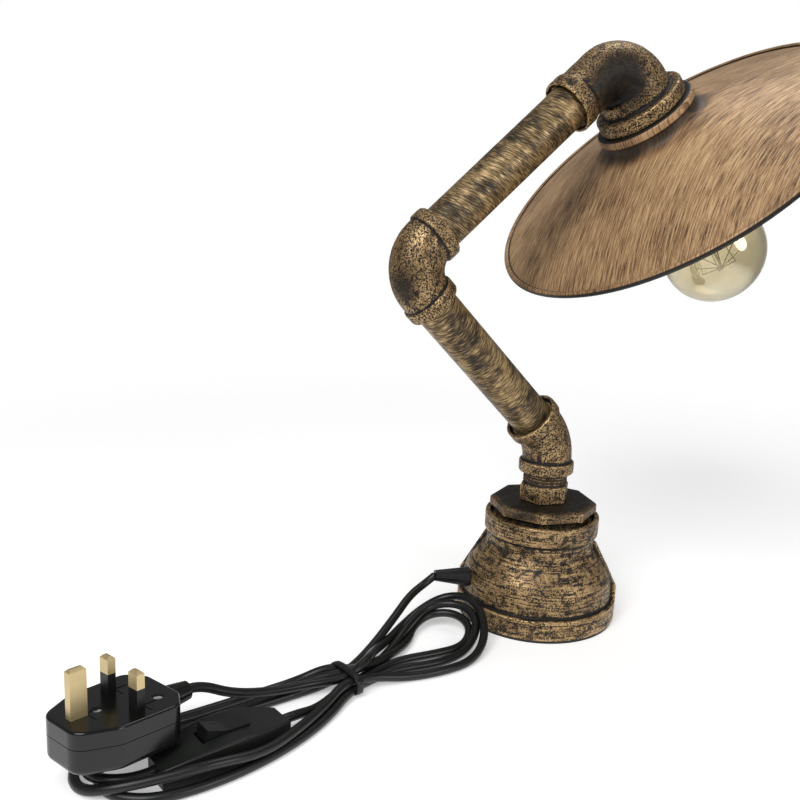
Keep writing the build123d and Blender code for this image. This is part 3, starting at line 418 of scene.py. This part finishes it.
def dress(finish, *nodes):
    """Gives CAD nodes that stay as they are a finish."""
    for node in nodes:
        NODES[node].material_slots[0].material = finish


# ---------------------------------------------------------------- meshes
def into_scene(name, mesh, material, body, slot, *nodes):
    """Piece of a mesh that rides on a body and stands for the nodes, where any are named."""
    piece = bpy.data.objects.new(name, mesh)
    bpy.context.scene.collection.objects.link(piece)
    mesh.materials.clear()
    mesh.materials.append(material)
    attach(piece, body)
    if nodes:
        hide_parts(*nodes)


def mesh_from(name, bm, where=None, sharp=35.0):
    """Mesh of a bmesh, moved to its place, smooth except along sharp edges."""
    bmesh.ops.remove_doubles(bm, verts=bm.verts, dist=1e-7)
    bmesh.ops.recalc_face_normals(bm, faces=bm.faces)
    mesh = bpy.data.meshes.new(name)
    bm.to_mesh(mesh)
    bm.free()
    if where is not None:
        mesh.transform(where)
    mesh.polygons.foreach_set("use_smooth", [True] * len(mesh.polygons))
    mesh.set_sharp_from_angle(angle=radians(sharp))
    return mesh


def bridge(bm, first, second):
    """Faces between two closed rings of as many points."""
    for step in range(len(first)):
        after = (step + 1) % len(first)
        bm.faces.new((first[step], first[after], second[after], second[step]))


def evaluated_copy(piece):
    """Plain mesh of a piece with its modifiers applied."""
    graph = bpy.context.evaluated_depsgraph_get()
    return bpy.data.meshes.new_from_object(piece.evaluated_get(graph), depsgraph=graph)


def add_relief(mesh, smoothed, depth):
    """Stores how far each point stands out of (+1) or lies below (-1) the smoothed shape."""
    count = len(mesh.vertices)
    places, softer, normals = (np.empty(3 * count) for _ in range(3))
    mesh.vertices.foreach_get("co", places)
    smoothed.vertices.foreach_get("co", softer)
    mesh.vertices.foreach_get("normal", normals)
    apart = (places - softer).reshape(-1, 3) * normals.reshape(-1, 3)
    relief = mesh.attributes.new("relief", "FLOAT", "POINT")
    relief.data.foreach_set("value", np.clip(apart.sum(axis=1) / depth, -1, 1))


def cast_copy(node, voxel, rough):
    """Casting with rounded edges and a rough skin, made from a CAD node's own mesh."""
    source = bpy.data.objects.new(node + "_source", NODES[node].data.copy())
    bpy.context.scene.collection.objects.link(source)
    bm = bmesh.new()
    bm.from_mesh(source.data)
    bmesh.ops.remove_doubles(bm, verts=bm.verts, dist=1e-6)
    bm.to_mesh(source.data)
    bm.free()
    remesh = source.modifiers.new("voxels", "REMESH")
    remesh.mode, remesh.voxel_size, remesh.use_smooth_shade = "VOXEL", voxel, True
    smooth = source.modifiers.new("rounded", "SMOOTH")
    smooth.factor, smooth.iterations = 0.5, 2
    skin = bpy.data.textures.new(node + "_skin", "CLOUDS")
    skin.noise_scale, skin.noise_depth = 3.5 * MM, 2
    displace = source.modifiers.new("skin", "DISPLACE")
    displace.texture, displace.texture_coords = skin, "LOCAL"
    displace.strength, displace.mid_level = rough, 0.85
    mesh = evaluated_copy(source)
    displace.show_viewport = False
    # Smaller voxels take more rounds to soften over the same width.
    smooth.iterations = round(2 + (1.6 * MM / voxel) ** 2 * 2)
    smoothed = evaluated_copy(source)
    add_relief(mesh, smoothed, 0.3 * MM)
    bpy.data.objects.remove(source)
    bpy.data.meshes.remove(smoothed)
    return mesh


# ---------------------------------------------------------------- settings
def length(name, description, default):
    return bpy.props.FloatProperty(
        name=name, description=description, default=default, unit="LENGTH", precision=5
    )


def colour(name, description, default):
    return bpy.props.FloatVectorProperty(
        name=name, description=description, default=default, size=3, subtype="COLOR", min=0, max=1
    )


class PaintSettings(bpy.types.PropertyGroup):
    casting_dark: colour("Casting black", "Bottom of the castings' pits", (0.007, 0.006, 0.005))
    casting_brown: colour("Casting brown", "Paint rubbed thin", (0.055, 0.035, 0.018))
    casting_bronze: colour("Casting bronze", "Paint on the flats", (0.29, 0.185, 0.085))
    casting_gold: colour("Casting gold", "Rubbed high spots", (0.62, 0.43, 0.21))
    pipe_dark: colour("Pipe black", "Black between the strokes", (0.009, 0.007, 0.005))
    pipe_brown: colour("Pipe brown", "Thin strokes", (0.07, 0.045, 0.021))
    pipe_bronze: colour("Pipe bronze", "Full strokes", (0.32, 0.215, 0.10))
    pipe_gold: colour("Pipe gold", "Heaviest strokes", (0.66, 0.48, 0.24))
    shade_dark: colour("Shade black", "Round the collar", (0.010, 0.008, 0.006))
    shade_brown: colour("Shade brown", "Between the strokes", (0.16, 0.092, 0.045))
    shade_copper: colour("Shade copper", "Strokes", (0.40, 0.235, 0.115))
    shade_light: colour("Shade light", "Heaviest strokes", (0.77, 0.53, 0.29))
    bow: bpy.props.FloatProperty(
        name="Bow", description="How far the shade's strokes bend to one side", default=2.2
    )
    slope: bpy.props.FloatProperty(
        name="Slope", description="Of the shade's cone", default=radians(18.1), subtype="ANGLE"
    )
    crown: length("Crown", "Where the cone's outer face would meet its axis", 35.88 * MM)


class CordSettings(bpy.types.PropertyGroup):
    diameter: length("Diameter", "Of the round sheath", 5.0 * MM)
    tie_span: length("Tie span", "Width of the tie's middle line", 25.0 * MM)
    tie_height: length("Tie height", "Height of the tie's middle line", 11.0 * MM)
    tie_width: length("Tie width", "Of the band, along the cords", 4.2 * MM)
    tie_thickness: length("Tie thickness", "Of the band", 1.5 * MM)
    sheath: colour("Sheath", "Colour of the cord", (0.006, 0.0068, 0.006))


class ThreadSettings(bpy.types.PropertyGroup):
    radius: length("Radius", "Of the helix", 13.2 * MM)
    pitch: length("Pitch", "From one turn to the next", 1.81 * MM)
    height: length("Height", "Of the open thread", 6.6 * MM)
    crest: length("Crest", "Half the height of a turn's profile", 0.62 * MM)
    below_corner: length(
        "Below corner", "From the lower elbow's corner to the lowest turn", 28.4 * MM
    )


class BulbSettings(bpy.types.PropertyGroup):
    tint: colour("Tint", "Of the glass", (0.95, 0.91, 0.79))


class StageSettings(bpy.types.PropertyGroup):
    floor: colour("Floor", "Colour of the floor", (0.94, 0.94, 0.94))
    floor_glow: bpy.props.FloatProperty(
        name="Floor glow", description="Light that the floor gives off by itself", default=0.36
    )
    key_power: bpy.props.FloatProperty(
        name="Key", description="Power of the large soft lamp", default=10.2, subtype="POWER"
    )
    surround: bpy.props.FloatProperty(
        name="Surroundings", description="Brightness of the room as the lamp sees it", default=0.22
    )


# ---------------------------------------------------------------- camera and cord
class LAMP_OT_camera(bpy.types.Operator):
    """Places the camera in front of the lamp and a little above it"""

    bl_idname = "pipe_lamp.camera"
    bl_label = "Camera"

    def execute(self, context):
        data = bpy.data.cameras.new("camera")
        data.sensor_width = 36.0
        data.lens = 39.33
        data.shift_x, data.shift_y = -0.0094, 0.0631
        data.clip_start, data.clip_end = 0.01, 20.0
        camera = bpy.data.objects.new("camera", data)
        context.scene.collection.objects.link(camera)
        spot = Vector((-0.08751, -0.52787, 0.25373))
        back, right = Vector((0.0, -0.962, 0.273)), Vector((0.9992, 0.0109, 0.0383))
        camera.matrix_world = place(spot, axes_of(back, right))
        context.scene.camera = camera
        return {"FINISHED"}


class LAMP_OT_cord(bpy.types.Operator):
    """Lays the black cord from the foot through the switch to the plug"""

    bl_idname = "pipe_lamp.cord"
    bl_label = "Cord"

    def run(self, name, route, props, sheath):
        curve = bpy.data.curves.new(name, "CURVE")
        curve.dimensions = "3D"
        spline = curve.splines.new("NURBS")
        spline.points.add(len(route) - 1)
        for point, (x, y, z) in zip(spline.points, route):
            point.co = (x * MM, y * MM, z * MM, 1)
        spline.order_u = 3
        spline.use_endpoint_u = True
        spline.resolution_u = 8
        curve.bevel_depth = props.diameter / 2
        curve.bevel_resolution = 5
        curve.use_fill_caps = True
        curve.materials.append(sheath)
        cord = bpy.data.objects.new(name, curve)
        bpy.context.scene.collection.objects.link(cord)
        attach(cord, "base")
        return cord

    def execute(self, context):
        props = context.scene.lamp_cord
        sheath = cord_sheath("cord_sheath", props.sheath)
        lead = self.run("lead_cord", LEAD_ROUTE, props, sheath)
        hank = self.run("hank_cord", HANK_ROUTE, props, sheath)
        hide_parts("cord_lead")
        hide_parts("cord_hank", "cord_tail")
        return {"FINISHED"}


# ---------------------------------------------------------------- metal
class LAMP_OT_castings(bpy.types.Operator):
    """Gives the foot, the bush and the elbows their rough cast skin and rubbed paint"""

    bl_idname = "pipe_lamp.castings"
    bl_label = "Castings"

    def execute(self, context):
        props = context.scene.lamp_paint
        upright = Matrix.Identity(4)
        low = place(LOWER_CORNER, upright.to_3x3())
        bush_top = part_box("octagon_bush")[1][2]
        # Patches painted darker: centre, inner radius and outer radius. At the two elbows they are
        # painted shade in the inner bend; on the bush the top is painted darker round the nipple.
        nowhere = (Vector((0, 0, -1)), 0.0, 10 * MM)
        bend = (UPPER_CORNER + Vector((-4, -16, -15)) * MM, 5 * MM, 19 * MM)
        under = (HEAD_CORNER + Vector((0, -22, -15)) * MM, 9 * MM, 24 * MM)
        top = (Vector((0, 0, bush_top)), 24 * MM, 36 * MM)
        # Node, body, place, voxel size, share of streaks and painted dark patch of each casting.
        castings = (
            ("reducing_socket", "base", upright, 0.7, 0.5, nowhere),
            ("octagon_bush", "base", upright, 0.6, 0.2, top),
            ("hex_nipple", "base", upright, 0.45, 0.25, nowhere),
            ("elbow_45", "lower_arm", low, 0.6, 0.1, nowhere),
            ("elbow_90", "upper_arm", UPPER_PIPE_PLACE, 0.65, 0.1, bend),
            ("reducing_elbow", "head", HEAD_PLACE, 0.8, 0.05, under),
        )
        for node, body, where, voxel, streaks, dark_patch in castings:
            finish = rubbed_casting(node + "_paint", props, where, streaks, dark_patch)
            mesh = cast_copy(node, voxel * MM, 0.22 * MM)
            into_scene(node + "_cast", mesh, finish, body, "cast_bronze", node)
        black = plain_finish("foot_black", (0.02, 0.02, 0.02), 0.7)
        dress(black, "base_pad", "base_plate")
        return {"FINISHED"}


class LAMP_OT_thread(bpy.types.Operator):
    """Winds the open thread of the nipple, below the lower elbow"""

    bl_idname = "pipe_lamp.thread"
    bl_label = "Thread"

    def winding(self, finish):
        """Node group that sweeps a small diamond along a helix."""
        group = bpy.data.node_groups.new("thread_winding", "GeometryNodeTree")
        sockets = group.interface
        for name in ("Radius", "Height", "Turns", "Crest"):
            sockets.new_socket(name, in_out="INPUT", socket_type="NodeSocketFloat")
        sockets.new_socket("Geometry", in_out="OUTPUT", socket_type="NodeSocketGeometry")
        given = group.nodes.new("NodeGroupInput")
        points_per_turn, corners = 48, 4
        helix = group.nodes.new("GeometryNodeCurveSpiral")
        helix.inputs["Resolution"].default_value = points_per_turn
        diamond = group.nodes.new("GeometryNodeCurvePrimitiveCircle")
        diamond.inputs["Resolution"].default_value = corners
        sweep = group.nodes.new("GeometryNodeCurveToMesh")
        sweep.inputs["Fill Caps"].default_value = True
        real = group.nodes.new("GeometryNodeRealizeInstances")
        paint = group.nodes.new("GeometryNodeSetMaterial")
        paint.inputs["Material"].default_value = finish
        made = group.nodes.new("NodeGroupOutput")
        for source, target in (
            (given.outputs["Radius"], helix.inputs["Start Radius"]),
            (given.outputs["Radius"], helix.inputs["End Radius"]),
            (given.outputs["Height"], helix.inputs["Height"]),
            (given.outputs["Turns"], helix.inputs["Rotations"]),
            (given.outputs["Crest"], diamond.inputs["Radius"]),
            (helix.outputs["Curve"], sweep.inputs["Curve"]),
            (diamond.outputs["Curve"], sweep.inputs["Profile Curve"]),
            (sweep.outputs["Mesh"], real.inputs["Geometry"]),
            (real.outputs["Geometry"], paint.inputs["Geometry"]),
            (paint.outputs["Geometry"], made.inputs["Geometry"]),
        ):
            group.links.new(source, target)
        return group

    def execute(self, context):
        props = context.scene.lamp_thread
        finish = plain_finish("thread_paint", (0.05, 0.034, 0.02), 0.5)
        group = self.winding(finish)
        source = bpy.data.objects.new("thread_source", bpy.data.meshes.new("thread_source"))
        context.scene.collection.objects.link(source)
        winding = source.modifiers.new("winding", "NODES")
        winding.node_group = group
        values = {
            "Radius": props.radius,
            "Height": props.height,
            "Turns": props.height / props.pitch,
            "Crest": props.crest,
        }
        for item in group.interface.items_tree:
            if item.in_out == "INPUT":
                winding[item.identifier] = values[item.name]
        mesh = evaluated_copy(source)
        bpy.data.objects.remove(source)
        mesh.transform(Matrix.Translation((0, 0, LOWER_CORNER.z - props.below_corner)))
        into_scene("nipple_thread", mesh, finish, "base", "cast_bronze")
        return {"FINISHED"}


class LAMP_OT_pipes(bpy.types.Operator):
    """Brushes the bronze paint across the two pipes"""

    bl_idname = "pipe_lamp.pipes"
    bl_label = "Pipes"

    def execute(self, context):
        props = context.scene.lamp_paint
        for node, where in (("lower_pipe", LOWER_PIPE_PLACE), ("upper_pipe", UPPER_PIPE_PLACE)):
            dress(brushed_pipe(node + "_paint", props, where), node)
        return {"FINISHED"}


class LAMP_OT_shade(bpy.types.Operator):
    """Brushes the copper paint across the shade"""

    bl_idname = "pipe_lamp.shade"
    bl_label = "Shade"

    def execute(self, context):
        props = context.scene.lamp_paint
        dress(brushed_shade("shade_paint", props, HEAD_PLACE), "shade")
        return {"FINISHED"}


class LAMP_OT_lampholder(bpy.types.Operator):
    """Finishes the lampholder and the hidden fittings of the head"""

    bl_idname = "pipe_lamp.lampholder"
    bl_label = "Lampholder"

    def execute(self, context):
        black = plain_finish("holder_moulding", (0.018, 0.018, 0.018), 0.4)
        brass = bare_metal("holder_brass", (0.72, 0.52, 0.25), 0.25, HEAD_PLACE)
        zinc = bare_metal("zinc", (0.60, 0.60, 0.58), 0.3, HEAD_PLACE)
        dress(black, "holder_cap", "holder_skirt", "holder_insert")
        dress(brass, "entry_tube", "screw_shell", "centre_contact", "bulb_cap")
        dress(zinc, "adapter_disc", "entry_locknut")
        return {"FINISHED"}


class LAMP_OT_bulb(bpy.types.Operator):
    """Finishes the amber bulb, its stem and the wires in it"""

    bl_idname = "pipe_lamp.bulb"
    bl_label = "Bulb"

    def execute(self, context):
        props = context.scene.lamp_bulb
        dress(bulb_glass_finish("amber_glass_finish", props.tint), "bulb_glass")
        dress(bulb_glass_finish("stem_glass_finish", (0.9, 0.88, 0.8)), "bulb_stem")
        dress(plain_finish("filament_wire", (0.62, 0.57, 0.43), 0.5), "filament_cage")
        return {"FINISHED"}


# ---------------------------------------------------------------- plug and switch
class LAMP_OT_plug(bpy.types.Operator):
    """Finishes the mains plug and its brass pins"""

    bl_idname = "pipe_lamp.plug"
    bl_label = "Plug"

    def execute(self, context):
        gloss = plain_finish(
            "plug_moulding",
            (0.004, 0.0048, 0.004),
            0.2,
            grain=0.8 * MM,
            height=0.02 * MM,
            specular=0.45,
        )
        satin = plain_finish("sleeve_moulding", (0.008, 0.009, 0.008), 0.36)
        brass = bare_metal("pin_brass_finish", (0.78, 0.62, 0.33), 0.3, PLUG_PLACE, 3.0)
        steel = bare_metal("screw_steel", (0.75, 0.75, 0.73), 0.22, PLUG_PLACE)
        plating = plain_finish("screw_plating", (0.55, 0.58, 0.58), 0.3, specular=0.5)
        dress(gloss, "plug_base", "plug_cover", "plug_gland")
        dress(satin, "pin_sleeves", "cord_grip", "strain_relief")
        dress(brass, "earth_pin", "line_pin", "neutral_pin")
        dress(steel, "plug_fuse")
        self.screws(plating)
        self.mould_lines(gloss)
        return {"FINISHED"}

    def screws(self, plating):
        """Domed heads with a cross sunk in each, in place of the plain ones."""
        radius, recess, dome, shank = 2.45, 0.6, 0.55, 5.0
        slot_half, slot_reach, slot_depth, steps = 0.32, 1.55, 0.8, 64
        centres = ((9.3, 0.0), (34.5, -9.0))
        shares = (1.0, 0.97, 0.8, 0.6, 0.4, 0.2, 0.0)
        bm = bmesh.new()
        for x, y in centres:
            rings = []
            for share in shares:
                low = -recess - dome * share**2
                ring = []
                for step in range(steps):
                    angle = 2 * pi * step / steps
                    out, up = radius * share * cos(angle), radius * share * sin(angle)
                    narrow, far = sorted((abs(out), abs(up)))
                    depth = slot_depth if narrow < slot_half and far < slot_reach else 0
                    corner = Vector((x + out, y + up, low - depth)) * MM
                    ring.append(bm.verts.new(corner))
                rings.append(ring)
            foot = [bm.verts.new((v.co.x, v.co.y, -shank * MM)) for v in rings[0]]
            for first, second in zip([foot] + rings, rings):
                bridge(bm, first, second)
            bm.faces.new(foot)
        mesh = mesh_from("plug_screw_heads", bm, PLUG_PLACE)
        into_scene("plug_screw_heads", mesh, plating, "base", "steel", "plug_screws")

    def mould_lines(self, gloss):
        """Low ridges on the plug's face: a bar beside each pin and a stem that leads off it."""
        height, rounding = 0.28 * MM, 0.09 * MM
        # Centre and half size of each ridge, in millimetres from the earth pin.
        ridges = (
            ((4.4, 0.0), (0.35, 7.0)),
            ((7.6, 0.0), (3.2, 0.3)),
            ((25.4, 11.1), (0.3, 6.4)),
            ((28.4, 11.1), (3.0, 0.3)),
            ((25.4, -11.1), (0.3, 6.4)),
            ((28.4, -11.1), (3.0, 0.3)),
        )
        bm = bmesh.new()
        for (x, y), (half_x, half_y) in ridges:
            for corner in bmesh.ops.create_cube(bm, size=2 * MM)["verts"]:
                corner.co.x = (x + half_x * copysign(1, corner.co.x)) * MM
                corner.co.y = (y + half_y * copysign(1, corner.co.y)) * MM
                corner.co.z = height * copysign(1, corner.co.z)
        bmesh.ops.bevel(bm, geom=bm.edges[:], offset=rounding, segments=2, affect="EDGES")
        mesh = mesh_from("plug_mould_lines", bm, PLUG_PLACE)
        into_scene("plug_mould_lines", mesh, gloss, "base", "plug_black")


class LAMP_OT_tie(bpy.types.Operator):
    """Wraps the rounded band of the tie round the bundle"""

    bl_idname = "pipe_lamp.tie"
    bl_label = "Tie"

    def execute(self, context):
        props = context.scene.lamp_cord
        centre, heading = Vector((-0.1155, -0.109, 0.0064)), radians(40)
        cords = Vector((cos(heading), sin(heading), 0))
        where = place(centre, axes_of(cords, Vector((0, 0, 1))))
        steps, sides = 96, 16
        loop_corners, band_corners = 0.62, 0.6

        def squared(value, power):
            """Draws a circle's sine or cosine out towards a square with round corners."""
            return copysign(abs(value) ** power, value)

        bm = bmesh.new()
        rings = []
        for step in range(steps):
            angle = 2 * pi * step / steps
            high = squared(cos(angle), loop_corners)
            wide = squared(sin(angle), loop_corners)
            ring = []
            for side in range(sides):
                turn = 2 * pi * side / sides
                out = props.tie_thickness / 2 * squared(cos(turn), band_corners)
                along = props.tie_width / 2 * squared(sin(turn), band_corners)
                x = high * (props.tie_height / 2 + out)
                y = wide * (props.tie_span / 2 + out)
                ring.append(bm.verts.new((x, y, along)))
            rings.append(ring)
        for first, second in zip(rings, rings[1:] + rings[:1]):
            bridge(bm, first, second)
        finish = plain_finish("tie_moulding", (0.008, 0.009, 0.008), 0.36)
        mesh = mesh_from("tie_band", bm, where, 50)
        into_scene("tie_band", mesh, finish, "base", "cord_black", "cord_tie")
        return {"FINISHED"}


class LAMP_OT_switch(bpy.types.Operator):
    """Finishes the inline switch and its rocker"""

    bl_idname = "pipe_lamp.switch"
    bl_label = "Switch"

    def execute(self, context):
        matt = plain_finish("switch_moulding", (0.009, 0.0105, 0.009), 0.4)
        dress(matt, "switch_base", "switch_cover")
        dress(plain_finish("rocker_moulding", (0.008, 0.009, 0.008), 0.26), "switch_rocker")
        return {"FINISHED"}


# ---------------------------------------------------------------- stage
class LAMP_OT_stage(bpy.types.Operator):
    """Makes the pale floor, the soft lamps and the white surroundings"""

    bl_idname = "pipe_lamp.stage"
    bl_label = "Stage"

    def lamp(self, name, where, aim, size, power):
        data = bpy.data.lights.new(name, "AREA")
        data.shape, data.size, data.energy = "DISK", size, power
        light = bpy.data.objects.new(name, data)
        bpy.context.scene.collection.objects.link(light)
        aimed = (Vector(aim) - Vector(where)).to_track_quat("-Z", "Y")
        light.matrix_world = place(Vector(where), aimed.to_matrix())

    def execute(self, context):
        props = context.scene.lamp_stage
        floor_radius, fade_start, fade_end = 6.0, 0.3, 0.85
        bm = bmesh.new()
        bmesh.ops.create_circle(bm, cap_ends=True, radius=floor_radius, segments=96)
        mesh = mesh_from("floor", bm)
        floor = bpy.data.objects.new("floor", mesh)
        context.scene.collection.objects.link(floor)
        paint = Paint("floor_paint")
        matt = {
            "Base Color": rgb(props.floor),
            "Roughness": 1.0,
            "Specular IOR Level": 0.0,
            "Emission Color": rgb(props.floor),
            "Emission Strength": props.floor_glow,
        }
        ground = paint.node("BsdfPrincipled", None, matt)[0]
        clear = paint.node("BsdfTransparent")[0]
        # The floor fades out before its own edge shows.
        edge = paint.distance((0, 0, 0)).step(fade_start, fade_end)
        fading = paint.node("MixShader", None, {0: edge, 1: ground, 2: clear})[0]
        mesh.materials.append(paint.output(fading))

        self.lamp("key", (-0.6, -1.15, 1.35), (0, 0, 0.2), 1.2, props.key_power * 2.0)
        self.lamp("fill", (1.4, -1.3, 0.8), (0, 0, 0.15), 0.9, props.key_power * 0.95)
        self.lamp("top", (0.3, 0.5, 1.5), (0, 0, 0.15), 0.8, props.key_power * 0.45)

        world = bpy.data.worlds.new("studio")
        context.scene.world = world
        world.use_nodes = True
        tree = world.node_tree
        tree.nodes.clear()
        output = tree.nodes.new("ShaderNodeOutputWorld")
        background = tree.nodes.new("ShaderNodeBackground")
        path = tree.nodes.new("ShaderNodeLightPath")
        # The eye and what it sees through glass get plain white, all else a dimmer room.
        seen = tree.nodes.new("ShaderNodeMath")
        seen.operation = "MAXIMUM"
        tree.links.new(path.outputs["Is Camera Ray"], seen.inputs[0])
        tree.links.new(path.outputs["Is Transmission Ray"], seen.inputs[1])
        strength = tree.nodes.new("ShaderNodeMapRange")
        strength.inputs["To Min"].default_value = props.surround
        strength.inputs["To Max"].default_value = 1.0
        tree.links.new(seen.outputs[0], strength.inputs["Value"])
        background.inputs["Color"].default_value = (1, 1, 1, 1)
        tree.links.new(strength.outputs[0], background.inputs["Strength"])
        tree.links.new(background.outputs[0], output.inputs["Surface"])

        view = context.scene.view_settings
        view.view_transform = "Standard"
        return {"FINISHED"}


class LAMP_PT_panel(bpy.types.Panel):
    """Lists the steps that dress the lamp, in their order"""

    bl_idname = "LAMP_PT_panel"
    bl_label = "Pipe Lamp"
    bl_space_type = "VIEW_3D"
    bl_region_type = "UI"
    bl_category = "Pipe Lamp"

    def draw(self, context):
        for step in STEPS:
            self.layout.operator(step.bl_idname)


STEPS = (
    LAMP_OT_camera,
    LAMP_OT_tie,
    LAMP_OT_cord,
    LAMP_OT_castings,
    LAMP_OT_thread,
    LAMP_OT_pipes,
    LAMP_OT_shade,
    LAMP_OT_lampholder,
    LAMP_OT_bulb,
    LAMP_OT_plug,
    LAMP_OT_switch,
    LAMP_OT_stage,
)
SETTINGS = {
    "lamp_paint": PaintSettings,
    "lamp_cord": CordSettings,
    "lamp_thread": ThreadSettings,
    "lamp_bulb": BulbSettings,
    "lamp_stage": StageSettings,
}
CLASSES = (*SETTINGS.values(), *STEPS, LAMP_PT_panel)


def register():
    for kind in CLASSES:
        bpy.utils.register_class(kind)
    for name, kind in SETTINGS.items():
        setattr(bpy.types.Scene, name, bpy.props.PointerProperty(type=kind))


def unregister():
    for name in SETTINGS:
        delattr(bpy.types.Scene, name)
    for kind in reversed(CLASSES):
        bpy.utils.unregister_class(kind)


def main():
    register()
    for step in STEPS:
        group, action = step.bl_idname.split(".")
        getattr(getattr(bpy.ops, group), action)()


if __name__ == "__main__":
    main()
